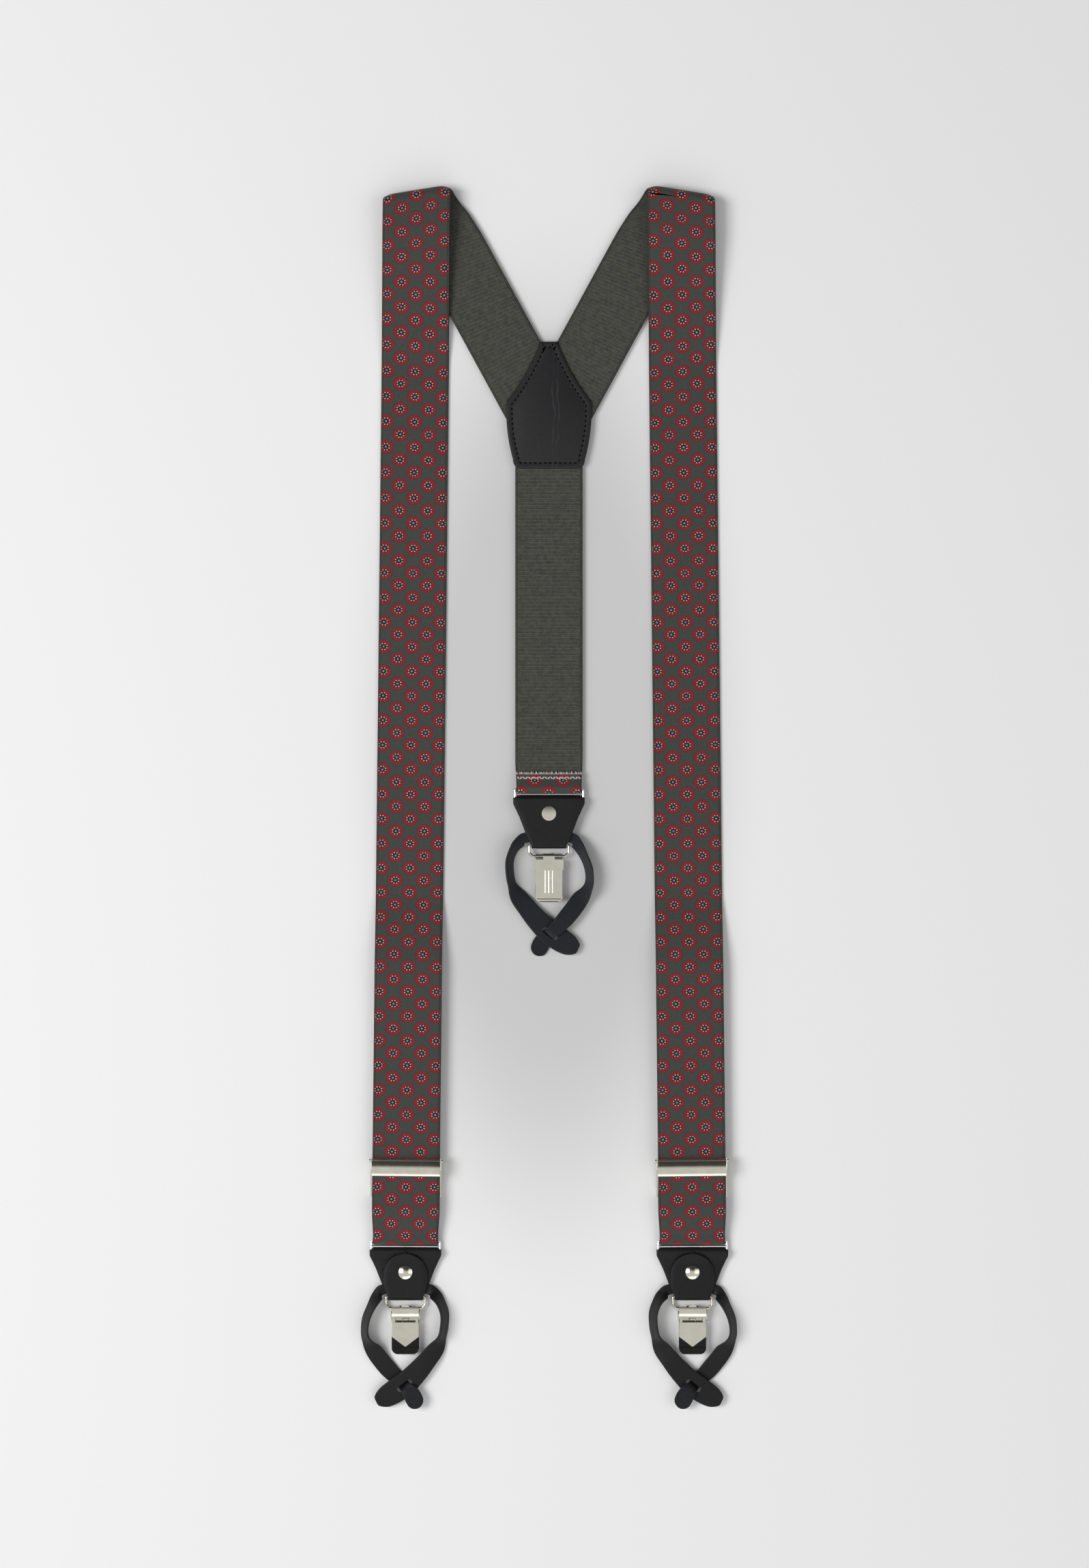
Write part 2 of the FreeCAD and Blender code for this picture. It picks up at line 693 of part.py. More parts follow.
def button_strap(arm_z):
    """A leather band held in the tab's fold; each end hangs round and the two lobes lock together."""
    z = tongue_z + layer_step
    left = [
        (0, -22.55, z, 180, 0, 0, 5.4),
        (-11.5, -22.6, z, 181, 0, 0, 5.4),
        (-14.6, -26.0, (z + arm_z) / 2, 236, 35, 0, 7.0),
        (-17.5, -30.8, arm_z, 240, 60, 0, 8.2),
        (-20.5, -38.0, arm_z, 259, arm_turn, 0, arm_width),
        (-21.1, -45.1, arm_z, 277, arm_turn, 0, arm_width),
        (-19.6, -49.6, arm_z - 0.2, 291, arm_turn - 12, 0, arm_width),
        (-16.4, -54.3, 3.1, 302, 18, 0, 9.2),
        (-13.3, -58.8, 1.9, 305, 4, 0, 9.2),
        (-8.8, -64.4, 1.2, 309, 0, 0, 9.0),
        (-4.4, -69.0, 1.0, 314, 0, 0, 7.6),
        (-2.0, -71.2, 1.1, 315, 0, 20, 6.4),
        (-0.9, -72.2, 2.2, 315, 0, 62, 6.2),
        (-0.1, -73.0, 4.1, 315, 0, 62, 6.2),
        (1.6, -74.3, 5.05, 305, 0, 10, 7.8),
        (3.6, -77.2, 5.1, 297, 0, 0, 9.0),
        (5.2, -80.4, 5.05, 296, 0, 0, 8.9),
        (6.0, -82.2, 5.0, 296, 0, 0, 7.4),
        (6.5, -83.2, 5.0, 296, 0, 0, 5.0),
        (6.7, -83.6, 5.0, 296, 0, 0, 3.2),
    ]
    right = [
        (0, -22.55, z, 0, 0, 0, 5.4),
        (11.5, -22.5, z, -1, 0, 0, 5.4),
        (15.2, -25.0, (z + arm_z) / 2, -45, -35, 0, 7.0),
        (18.2, -28.6, arm_z, -58, -60, 0, 8.2),
        (20.4, -35.0, arm_z, -84, -arm_turn, 0, arm_width),
        (20.1, -42.6, arm_z, -98, -arm_turn, 0, arm_width),
        (18.8, -47.6, arm_z - 0.1, -108, 5 - arm_turn, 0, arm_width),
        (15.8, -53.4, 3.3, -120, -22, 0, 9.4),
        (11.6, -58.9, 3.3, -129, -5, 0, 9.9),
        (7.2, -64.2, 3.2, -136, 0, 0, 11.0),
        (1.2, -70.4, 3.2, -142, 0, 0, 12.2),
        (-5.0, -75.1, 3.2, -147, 0, 0, 12.6),
        (-10.2, -78.3, 3.2, -151, 0, 0, 11.2),
        (-13.2, -79.8, 3.2, -153, 0, 0, 8.4),
        (-15.0, -80.6, 3.2, -154, 0, 0, 5.2),
    ]
    arms = []
    for stations in (left, right):
        arms.append(Part.makeLoft([band_section(*s) for s in stations], True, True))
    slot = box(-slot_half, slot_half, -1.6, 1.6, 2.3, 4.1)
    slot.rotate(V(0, 0, 0), V(0, 0, 1), 38)
    slot.translate(V(-0.5, slot_y, 0))
    return joined(arms[0], arms[1].cut(slot))


def end_pieces(arm_z):
    return {
        "end_tab": end_tab(),
        "stud_cap": stud_cap(),
        "stud_base": stud_base(),
        "tab_rivet": tab_rivet(),
        "button_strap": button_strap(arm_z),
        "clip_ring": clip_ring(),
        "clip_rear_jaw": clip_rear_jaw(),
        "clip_rear_pad": clip_rear_pad(),
        "clip_front_jaw": clip_front_jaw(),
        "clip_front_pad": clip_front_pad(),
        "clip_pin": clip_pin_piece(),
        "clip_spring": clip_spring(),
    }


def left_pieces():
    pieces = {
        "back_elastic": back_run(),
        "fold_elastic": fold(),
        "front_elastic": front_run(),
        "loop_elastic": strap_placed(loop()),
        "adjuster_frame": strap_placed(adjuster_frame()),
        "adjuster_lever": strap_placed(adjuster_lever()),
        "adjuster_pin": strap_placed(adjuster_pin()),
        "loop_ring": ring_placed(loop_ring()),
    }
    arm_z = arm_centre
    for name, shape in end_pieces(arm_z).items():
        pieces[name] = end_placed(shape)
    return pieces


def all_pieces():
    pieces = {
        "yoke_rear_leather": yoke_leather(0),
        "yoke_front_leather": yoke_leather(leather_thick + elastic_thick),
        "centre_elastic": back_strap(),
        "back_loop_ring": back_placed(loop_ring()),
    }
    for name, shape in end_pieces(end_height - arm_centre).items():
        pieces["back_" + name] = back_placed(shape)
    for name, shape in left_pieces().items():
        pieces["left_" + name] = shape
        pieces["right_" + name] = mirrored(shape)
    return pieces


os.makedirs("parts", exist_ok=True)
for node, shape in all_pieces().items():
    shape.exportStep("parts/" + node + ".step")
    print(node, shape.isValid(), len(shape.Solids), round(shape.Volume, 1),
          [round(v, 1) for v in (shape.BoundBox.XMin, shape.BoundBox.XMax, shape.BoundBox.YMin,
                                 shape.BoundBox.YMax, shape.BoundBox.ZMin, shape.BoundBox.ZMax)])
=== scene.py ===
import math

import bmesh
import bpy
from mathutils import Matrix, Vector


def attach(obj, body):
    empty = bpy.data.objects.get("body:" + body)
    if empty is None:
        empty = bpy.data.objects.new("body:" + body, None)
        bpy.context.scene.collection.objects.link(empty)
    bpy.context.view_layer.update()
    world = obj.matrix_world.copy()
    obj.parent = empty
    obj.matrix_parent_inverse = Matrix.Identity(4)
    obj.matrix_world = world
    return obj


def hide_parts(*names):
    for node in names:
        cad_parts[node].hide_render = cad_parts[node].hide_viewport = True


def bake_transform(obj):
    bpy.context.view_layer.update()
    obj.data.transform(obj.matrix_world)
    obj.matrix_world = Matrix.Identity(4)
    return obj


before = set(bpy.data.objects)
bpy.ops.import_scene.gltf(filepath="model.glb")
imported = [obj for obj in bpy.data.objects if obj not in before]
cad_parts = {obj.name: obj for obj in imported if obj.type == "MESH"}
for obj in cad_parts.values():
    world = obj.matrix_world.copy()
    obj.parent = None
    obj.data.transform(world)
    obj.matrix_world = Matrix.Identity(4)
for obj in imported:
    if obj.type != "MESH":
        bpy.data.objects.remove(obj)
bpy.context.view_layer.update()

MM = 0.001

# Sizes shared with the CAD source, in millimetres
ELASTIC_W = 35.0
ELASTIC_T = 1.5
LEATHER_T = 1.3
GAP = 0.1
YOKE_Z = LEATHER_T + ELASTIC_T / 2
BACK_ANGLE = 28.6
CROSS_Y = 192.0
BACK_RING_Y = 1.1
HEM_END_Y = 11.4
FOLD_R = 3.6
RING_X = 74.6
RING_Y = -233.85
TILT = 0.63
FLOOR_Z = ELASTIC_T / 2
FRONT_CUT = 44.0
RING_WIRE = 0.65
RING_MID_WIRE = 0.5
BAR_CLEARANCE = 0.15
ELASTIC_WRAP = RING_WIRE + BAR_CLEARANCE + ELASTIC_T / 2
LEATHER_WRAP = RING_WIRE + BAR_CLEARANCE + LEATHER_T / 2
RING_UPPER = ELASTIC_WRAP + ELASTIC_T / 2 + RING_MID_WIRE + BAR_CLEARANCE
RING_LOWER = LEATHER_WRAP + LEATHER_T / 2 + RING_MID_WIRE + BAR_CLEARANCE
RING_Z = ELASTIC_WRAP + ELASTIC_T / 2 + GAP
WRAP_HALF = 16.9
PASS_Z = 6.0
ADJUSTER_Y = 41.5
TAIL_BAR_Y = ADJUSTER_Y - 15.0
TAIL_BAR = 0.7
TAIL_CLEARANCE = 0.2
TAIL_WRAP = TAIL_BAR + TAIL_CLEARANCE + ELASTIC_T / 2
END_HEIGHT = 6.0
TONGUE_Z = RING_Z - LEATHER_WRAP
LAYER = LEATHER_T + GAP
HOOK_Y = -26.2
FLAP_TOP_Y = -3.5
FLAP_HALF = 11.3
TAB_HALF = 18.6
STRAP_T = 1.2
ARM_CENTRE = 4.65
ARM_TURN = 65.0
ARM_W = 8.7

SIDES = ("left", "right")
ENDS = ("left", "right", "back")


# Places

def turned(angle):
    return Matrix.Rotation(math.radians(angle), 4, "Z")


STRAP_PLACE = Matrix.Translation((-RING_X, RING_Y, 0)) @ turned(-TILT)
END_PLACE = Matrix.Translation((-RING_X, RING_Y, 0))
TURN_OVER = Matrix(((-1, 0, 0, 0), (0, 1, 0, 0), (0, 0, -1, END_HEIGHT), (0, 0, 0, 1)))
BACK_PLACE = Matrix.Translation((0, BACK_RING_Y, 0)) @ TURN_OVER
MIRROR = Matrix.Scale(-1, 4, (1, 0, 0))


# Node materials

class Nodes:
    """A short way to write shader node maths."""

    def __init__(self, name):
        self.material = bpy.data.materials.new(name)
        self.material.use_nodes = True
        self.tree = self.material.node_tree
        self.shader = self.tree.nodes["Principled BSDF"]

    def node(self, kind, **values):
        made = self.tree.nodes.new(kind)
        for key, value in values.items():
            setattr(made, key, value)
        return made

    def link(self, source, target):
        if isinstance(source, (int, float, tuple)):
            target.default_value = source
        else:
            self.tree.links.new(source, target)

    def math(self, operation, a, b=0.0):
        made = self.node("ShaderNodeMath", operation=operation)
        for socket, value in zip(made.inputs, (a, b)):
            self.link(value, socket)
        return made.outputs[0]

    def mix(self, factor, a, b):
        made = self.node("ShaderNodeMix", data_type="RGBA")
        self.link(factor, made.inputs[0])
        self.link(a, made.inputs[6])
        self.link(b, made.inputs[7])
        return made.outputs[2]

    def pick(self, factor, a, b):
        made = self.node("ShaderNodeMix", data_type="FLOAT")
        self.link(factor, made.inputs[0])
        self.link(a, made.inputs[2])
        self.link(b, made.inputs[3])
        return made.outputs[0]

    def below(self, value, limit, soft):
        """1 where value is under limit, 0 above, with a soft edge."""
        made = self.node("ShaderNodeMapRange", interpolation_type="SMOOTHSTEP")
        self.link(value, made.inputs[0])
        made.inputs[1].default_value = limit - soft
        made.inputs[2].default_value = limit + soft
        made.inputs[3].default_value = 1.0
        made.inputs[4].default_value = 0.0
        return made.outputs[0]

    def length(self, x, y):
        squares = self.math("ADD", self.math("MULTIPLY", x, x), self.math("MULTIPLY", y, y))
        return self.math("SQRT", squares)

    def uv(self):
        split = self.node("ShaderNodeSeparateXYZ")
        self.link(self.node("ShaderNodeUVMap", uv_map="cloth").outputs[0], split.inputs[0])
        return split.outputs[0], split.outputs[1]

    def place(self):
        return self.node("ShaderNodeTexCoord").outputs["Object"]

    def noise(self, scale, detail=2.0, rough=0.5, stretch=None):
        made = self.node("ShaderNodeTexNoise")
        made.inputs["Scale"].default_value = scale
        made.inputs["Detail"].default_value = detail
        made.inputs["Roughness"].default_value = rough
        source = self.place()
        if stretch:
            mapping = self.node("ShaderNodeMapping")
            mapping.inputs["Scale"].default_value = stretch
            self.link(source, mapping.inputs[0])
            source = mapping.outputs[0]
        self.link(source, made.inputs["Vector"])
        return made.outputs[0]

    def bump(self, height, distance, strength=1.0):
        made = self.node("ShaderNodeBump")
        made.inputs["Strength"].default_value = strength
        made.inputs["Distance"].default_value = distance
        self.link(height, made.inputs["Height"])
        self.link(made.outputs[0], self.shader.inputs["Normal"])

    def set(self, **values):
        names = {
            "colour": "Base Color",
            "rough": "Roughness",
            "metal": "Metallic",
            "specular": "Specular IOR Level",
            "sheen": "Sheen Weight",
            "sheen_rough": "Sheen Roughness",
            "coat": "Coat Weight",
            "coat_rough": "Coat Roughness",
        }
        for key, value in values.items():
            self.link(value, self.shader.inputs[names[key]])


def rgb(r, g, b):
    """A colour named by its usual 0 to 255 screen values, as linear light."""
    def linear(c):
        c = c / 255
        return c / 12.92 if c <= 0.04045 else ((c + 0.055) / 1.055) ** 2.4
    return (linear(r), linear(g), linear(b), 1.0)


# The print's repeat across and along the strap, how far its rosettes are flattened along it, how much its
# rows lean near the shoulder, and the pitch of the cloth's broad ribs, in millimetres of cloth
ACROSS = 14.83
ALONG = 12.79
MOTIF_SQUEEZE = 1.12
SKEW = 0.048
BROAD_RIB = 1.9


def repeat(n, value, pitch):
    """Signed distance from the nearest whole multiple of pitch."""
    share = n.math("ADD", n.math("DIVIDE", value, pitch), 0.5)
    return n.math("MULTIPLY", n.math("SUBTRACT", n.math("FRACT", share), 0.5), pitch)


def selvedge(n, u):
    """1 on the fine corded line near each edge of the webbing."""
    edge = n.math("ABSOLUTE", n.math("SUBTRACT", n.math("ABSOLUTE", u), ELASTIC_W / 2 - 1.0))
    return n.below(edge, 0.22, 0.12)


def rosette_print():
    """Red rosettes with a ring of pale dots, in a half-drop repeat on dark green-grey webbing."""
    n = Nodes("rosette_print")
    u, v = n.uv()
    spots = []
    for shift_u, shift_v in ((0.0, 0.0), (ACROSS / 2, ALONG / 2)):
        x = repeat(n, n.math("ADD", u, shift_u), ACROSS)
        y = n.math("MULTIPLY", repeat(n, n.math("ADD", v, shift_v), ALONG), MOTIF_SQUEEZE)
        spots.append((x, y, n.length(x, y)))
    nearer = n.math("LESS_THAN", spots[0][2], spots[1][2])
    x = n.pick(nearer, spots[1][0], spots[0][0])
    y = n.pick(nearer, spots[1][1], spots[0][1])
    wobble = n.math("MULTIPLY", n.math("SUBTRACT", n.noise(900, 2), 0.5), 0.35)
    r = n.math("ADD", n.length(x, y), wobble)
    turn = n.math("ARCTAN2", y, x)
    eighth = math.pi / 4
    local = repeat(n, n.math("SUBTRACT", turn, eighth / 2), eighth)
    dot_x = n.math("SUBTRACT", n.math("MULTIPLY", r, n.math("COSINE", local)), 1.85)
    dot_y = n.math("MULTIPLY", r, n.math("SINE", local))
    dot = n.length(dot_x, dot_y)
    weave = n.noise(1500, 3)
    patches = n.noise(420, 3)
    coarse = n.noise(700, 2)
    ground = n.mix(weave, rgb(46, 50, 46), rgb(80, 84, 77))
    ground = n.mix(n.math("MULTIPLY", patches, 0.5), ground, rgb(62, 67, 61))
    ground = n.mix(n.math("MULTIPLY", coarse, 0.5), ground, rgb(48, 52, 48))
    red = n.mix(weave, rgb(104, 20, 30), rgb(152, 42, 52))
    red = n.mix(n.math("MULTIPLY", coarse, 0.4), red, rgb(108, 26, 36))
    colour = n.mix(n.below(r, 4.08, 0.16), ground, rgb(86, 28, 33))
    colour = n.mix(n.below(r, 3.85, 0.2), colour, red)
    colour = n.mix(n.below(r, 2.45, 0.25), colour, rgb(66, 16, 30))
    colour = n.mix(n.below(dot, 0.34, 0.2), colour, rgb(196, 178, 150))
    colour = n.mix(n.below(r, 1.3, 0.22), colour, rgb(44, 16, 36))
    colour = n.mix(n.below(r, 0.42, 0.3), colour, rgb(176, 152, 180))
    colour = n.mix(n.math("MULTIPLY", selvedge(n, u), 0.55), colour, rgb(30, 32, 30))
    n.set(colour=colour, rough=0.78, specular=0.28, sheen=0.12, sheen_rough=0.5)
    ribs = n.math("SINE", n.math("MULTIPLY", v, 2 * math.pi / 0.55))
    warp = n.math("SINE", n.math("MULTIPLY", u, 2 * math.pi / 0.45))
    cloth = n.math("MULTIPLY", n.math("ADD", ribs, n.math("MULTIPLY", warp, 0.6)), 0.12)
    height = n.math("ADD", cloth, n.math("MULTIPLY", weave, 1.1))
    height = n.math("SUBTRACT", height, n.math("MULTIPLY", selvedge(n, u), 0.8))
    n.bump(height, 0.00012, 0.8)
    return n.material


def plain_webbing():
    """The inner face: olive-grey, with fine cross ribs and a dotted line near each edge."""
    n = Nodes("plain_webbing")
    u, v = n.uv()
    rib = n.math("SINE", n.math("MULTIPLY", v, 2 * math.pi / 0.95))
    warp = n.math("SINE", n.math("MULTIPLY", u, 2 * math.pi / 0.7))
    weave = n.noise(1300, 3)
    coarse = n.math("SUBTRACT", n.noise(520, 3), 0.5)
    patches = n.noise(60, 3)
    broad_rib = n.math("SINE", n.math("MULTIPLY", v, 2 * math.pi / BROAD_RIB))
    shade = n.math("ADD", n.math("MULTIPLY", rib, 0.2), n.math("MULTIPLY", broad_rib, 0.16))
    uneven = n.math("MULTIPLY", n.math("SUBTRACT", weave, 0.5), 0.9)
    shade = n.math("ADD", n.math("ADD", shade, 0.5), uneven)
    shade = n.math("ADD", shade, n.math("MULTIPLY", coarse, 1.3))
    colour = n.mix(shade, rgb(50, 52, 47), rgb(86, 86, 79))
    colour = n.mix(n.math("MULTIPLY", patches, 0.3), colour, rgb(70, 70, 62))
    dash = n.math("GREATER_THAN", broad_rib, -0.2)
    line = n.math("MULTIPLY", selvedge(n, u), dash)
    colour = n.mix(n.math("MULTIPLY", line, 0.75), colour, rgb(24, 25, 23))
    n.set(colour=colour, rough=0.85, specular=0.2, sheen=0.1, sheen_rough=0.5)
    height = n.math("ADD", n.math("MULTIPLY", rib, 0.4), n.math("MULTIPLY", weave, 0.8))
    height = n.math("ADD", height, n.math("MULTIPLY", warp, 0.15))
    height = n.math("SUBTRACT", height, n.math("MULTIPLY", line, 0.8))
    n.bump(height, 0.0002, 0.8)
    return n.material


def edge_webbing():
    """The strap's thin side, darker than its faces."""
    n = Nodes("edge_webbing")
    grain = n.noise(1100, 3)
    n.set(colour=n.mix(grain, rgb(34, 37, 34), rgb(62, 65, 59)), rough=0.85, specular=0.2)
    n.bump(grain, 0.0002, 0.7)
    return n.material


def smooth_leather(creased=False):
    """Near-black calf leather: fine pebbled grain, soft broad shine, slightly worn and paler in places."""
    n = Nodes("creased_leather" if creased else "smooth_leather")
    grain = n.noise(1500, 4, rough=0.6)
    broad = n.noise(70, 4, rough=0.6)
    cells = n.node("ShaderNodeTexVoronoi", feature="DISTANCE_TO_EDGE")
    cells.inputs["Scale"].default_value = 1400
    n.link(n.place(), cells.inputs["Vector"])
    pores = n.below(cells.outputs["Distance"], 0.06, 0.05)
    dark, pale, worn = (23, 36, 41) if creased else (9, 22, 27)
    colour = n.mix(grain, rgb(dark, dark, dark + 1), rgb(pale, pale, pale + 2))
    colour = n.mix(n.math("MULTIPLY", broad, 0.35), colour, rgb(worn, worn, worn + 3))
    n.set(colour=colour, specular=0.24)
    n.set(rough=n.math("ADD", 0.4, n.math("MULTIPLY", broad, 0.16)))
    height = n.math("SUBTRACT", n.math("MULTIPLY", grain, 0.6), n.math("MULTIPLY", pores, 0.35))
    height = n.math("ADD", height, n.math("MULTIPLY", broad, 1.2))
    if creased:
        split = n.node("ShaderNodeSeparateXYZ")
        n.link(n.place(), split.inputs[0])
        wander = n.math("MULTIPLY", n.math("SUBTRACT", n.noise(95, 1), 0.5), 0.006)
        x = n.math("ADD", split.outputs[0], wander)
        lines = 0.0
        for crease_x in (0.0022, 0.0048):
            away = n.math("ABSOLUTE", n.math("SUBTRACT", x, crease_x))
            lines = n.math("ADD", lines, n.below(away, 0.0003, 0.0003))
        lines = n.math("MULTIPLY", lines, n.below(n.noise(55, 2), 0.56, 0.12))
        colour = n.mix(n.math("MULTIPLY", lines, 0.5), colour, rgb(66, 66, 70))
        n.set(colour=colour)
        height = n.math("ADD", height, n.math("MULTIPLY", lines, 1.4))
    n.bump(height, 0.00012, 0.7)
    return n.material


def suede():
    """The flesh side of the button straps: soft dark blue-grey nap."""
    n = Nodes("suede")
    nap = n.noise(1800, 4, rough=0.7)
    patch = n.noise(230, 3, rough=0.6)
    colour = n.mix(nap, rgb(20, 22, 25), rgb(52, 55, 60))
    colour = n.mix(n.math("MULTIPLY", patch, 0.6), colour, rgb(34, 37, 42))
    n.set(colour=colour, rough=0.95, specular=0.12, sheen=0.25, sheen_rough=0.4)
    n.bump(n.math("ADD", nap, n.math("MULTIPLY", patch, 0.8)), 0.00025, 0.9)
    return n.material


def cut_leather():
    """The cut rim of a leather piece, stained dark grey."""
    n = Nodes("cut_leather_edge")
    grain = n.noise(1300, 3)
    n.set(colour=n.mix(grain, rgb(20, 20, 21), rgb(40, 41, 42)), rough=0.6, specular=0.3)
    n.bump(grain, 0.0001, 0.6)
    return n.material


def nickel(bright=False):
    """Polished nickel plate with a faint warm cast and soft smears. The ring wires get a rougher copy
    painted near-white, a painted highlight that brightens them where the leather and webbing shade them.
    """
    n = Nodes("bright_nickel" if bright else "polished_nickel")
    smear = n.noise(160, 3, rough=0.6)
    fine = n.noise(1600, 2)
    n.set(colour=n.mix(smear, rgb(212, 208, 190), rgb(236, 233, 220)), metal=1.0)
    n.set(rough=n.math("ADD", 0.1, n.math("MULTIPLY", smear, 0.14)))
    # Painted highlight: the ring wires' copy is painted whiter than the rest of the nickel.
    if bright:
        n.set(colour=n.mix(smear, rgb(246, 246, 242), rgb(254, 254, 252)), rough=0.42)
    n.bump(n.math("ADD", n.math("MULTIPLY", smear, 0.5), n.math("MULTIPLY", fine, 0.05)), 0.00005, 0.3)
    return n.material


def dark_reflection_gloss():
    """The clips' grip pads: glossy near-black, a painted reflection standing in for polished metal that
    mirrors dark surroundings.
    """
    n = Nodes("dark_reflection_gloss")
    broad = n.noise(300, 2)
    # Painted reflection: the near-black colour stands in for dark surroundings seen in polished metal.
    n.set(colour=n.mix(broad, rgb(9, 9, 11), rgb(18, 18, 20)), rough=0.14, specular=0.22, coat=0.08)
    n.bump(broad, 0.00008, 0.5)
    return n.material


def thread():
    """Black sewing thread."""
    n = Nodes("black_thread")
    twist = n.noise(2600, 2)
    n.set(colour=n.mix(twist, rgb(1, 1, 2), rgb(7, 7, 8)), rough=0.9, specular=0.04)
    n.bump(twist, 0.0001, 0.6)
    return n.material


def frayed():
    """Pale loose fibres and the pale seam at the back strap's raw end."""
    n = Nodes("frayed_thread")
    fibre = n.noise(700, 2)
    n.set(colour=n.mix(fibre, rgb(150, 150, 146), rgb(222, 216, 212)), rough=0.85, specular=0.2)
    n.bump(fibre, 0.0001, 0.6)
    return n.material


def spring_steel():
    """Bare drawn wire."""
    n = Nodes("spring_steel")
    draw = n.noise(500, 2, stretch=(1, 20, 20))
    n.set(colour=n.mix(draw, rgb(150, 150, 150), rgb(200, 200, 198)), metal=1.0, rough=0.3)
    n.bump(draw, 0.00005, 0.5)
    return n.material


PRINT = rosette_print()
PLAIN = plain_webbing()
EDGE = edge_webbing()
LEATHER = smooth_leather()
CREASED = smooth_leather(True)
SUEDE = suede()
CUT = cut_leather()
NICKEL = nickel()
RING_PAINTED_HIGHLIGHT = nickel(True)
PADS_DARK_REFLECTION = dark_reflection_gloss()
THREAD = thread()
FRAYED = frayed()
STEEL = spring_steel()


# Meshes

def mesh_object(name, verts, faces, materials, face_materials=None, uvs=None):
    """Vertices come in millimetres; uvs hold one pair for each corner, in millimetres of cloth."""
    mesh = bpy.data.meshes.new(name)
    mesh.from_pydata([tuple(Vector(v) * MM) for v in verts], [], faces)
    for material in materials:
        mesh.materials.append(material)
    if face_materials:
        mesh.polygons.foreach_set("material_index", face_materials)
    if uvs:
        layer = mesh.uv_layers.new(name="cloth")
        flat = [c for pair in uvs for c in pair]
        layer.data.foreach_set("uv", flat)
    mesh.polygons.foreach_set("use_smooth", [True] * len(faces))
    mesh.update()
    made = bpy.data.objects.new(name, mesh)
    bpy.context.scene.collection.objects.link(made)
    return made


def tidy_normals(obj, sharp=50):
    """Faces outward, and edges sharper than the limit drawn sharp."""
    work = bmesh.new()
    work.from_mesh(obj.data)
    bmesh.ops.recalc_face_normals(work, faces=work.faces)
    for edge in work.edges:
        if len(edge.link_faces) == 2:
            edge.smooth = edge.calc_face_angle(0) < math.radians(sharp)
    work.to_mesh(obj.data)
    work.free()


def mirrored_copy(obj, name):
    """The same piece on the other side of the centre line."""
    mesh = obj.data.copy()
    mesh.transform(MIRROR)
    mesh.flip_normals()
    made = bpy.data.objects.new(name, mesh)
    bpy.context.scene.collection.objects.link(made)
    return made


def trace(start, angle, moves, step=2.5, bend=15):
    """Rows along a YZ path of straight and curved runs: (y, z, heading, distance)."""
    y, z = start
    rows = [(y, z, angle, 0.0)]
    gone = 0.0
    for move in moves:
        if move[0] == "go":
            count = max(1, math.ceil(move[1] / step))
            for i in range(count):
                part = move[1] / count
                y += part * math.cos(math.radians(angle))
                z += part * math.sin(math.radians(angle))
                gone += part
                rows.append((y, z, angle, gone))
            continue
        radius = move[1]
        turn = math.copysign(1, move[2])
        cy = y - radius * turn * math.sin(math.radians(angle))
        cz = z + radius * turn * math.cos(math.radians(angle))
        count = max(2, math.ceil(abs(move[2]) / bend))
        for i in range(count):
            angle += move[2] / count
            y = cy + radius * turn * math.sin(math.radians(angle))
            z = cz - radius * turn * math.cos(math.radians(angle))
            gone += radius * math.radians(abs(move[2]) / count)
            rows.append((y, z, angle, gone))
    return rows


def rise(height, angle, radius):
    """Moves that step up or down by a height at a slope angle, and the length along Y that they cover."""
    turn = math.copysign(angle, height)
    a = math.radians(angle)
    straight = (abs(height) - 2 * radius * (1 - math.cos(a))) / math.sin(a)
    covered = 2 * radius * math.sin(a) + straight * math.cos(a)
    return [("turn", radius, turn), ("go", straight), ("turn", radius, -turn)], covered


def reversed_turns(moves):
    """The same moves, bending the other way."""
    return [(m[0], m[1], -m[2]) if m[0] == "turn" else m for m in moves]


def rounded_loop(half, thick, columns, edge):
    """Points round a flat band's cross-section: (across, height, which side), top first then bottom."""
    flat = half - edge
    points = []
    for i in range(columns + 1):
        points.append((-flat + 2 * flat * i / columns, thick / 2, 0))
    for a in (60, 30, 0, -30, -60):
        r = math.radians(a)
        points.append((flat + edge * math.cos(r), thick / 2 * math.sin(r), 2))
    for i in range(columns + 1):
        points.append((flat - 2 * flat * i / columns, -thick / 2, 1))
    for a in (-60, -30, 0, 30, 60):
        r = math.radians(a)
        points.append((-flat - edge * math.cos(r), thick / 2 * math.sin(r), 2))
    return points


def band(name, rows, thick, materials, columns, edge=0.45):
    """A closed band swept along rows of (centre, across, up, half width, cloth distance), in millimetres.

    Materials are for the up side, the down side and the edges."""
    verts = []
    loops = []
    for centre, across, up, half, v in rows:
        soft = min(edge, half * 0.45)
        loop = rounded_loop(half, thick, columns, soft)
        loops.append([(u, v, side) for u, h, side in loop])
        for u, h, side in loop:
            verts.append(centre + across * u + up * h)
    count = len(loops[0])
    faces = []
    kinds = []
    uvs = []
    for i in range(len(rows) - 1):
        for j in range(count):
            k = (j + 1) % count
            faces.append((i * count + j, i * count + k, (i + 1) * count + k, (i + 1) * count + j))
            sides = {loops[i][j][2], loops[i][k][2]}
            kinds.append(sides.pop() if len(sides) == 1 else 2)
            for row, col in ((i, j), (i, k), (i + 1, k), (i + 1, j)):
                uvs.append(loops[row][col][:2])
    for row in (0, len(rows) - 1):
        faces.append(tuple(row * count + j for j in range(count)))
        kinds.append(2)
        uvs.extend(loops[row][j][:2] for j in range(count))
    made = mesh_object(name, verts, faces, materials, kinds, uvs)
    tidy_normals(made)
    return made


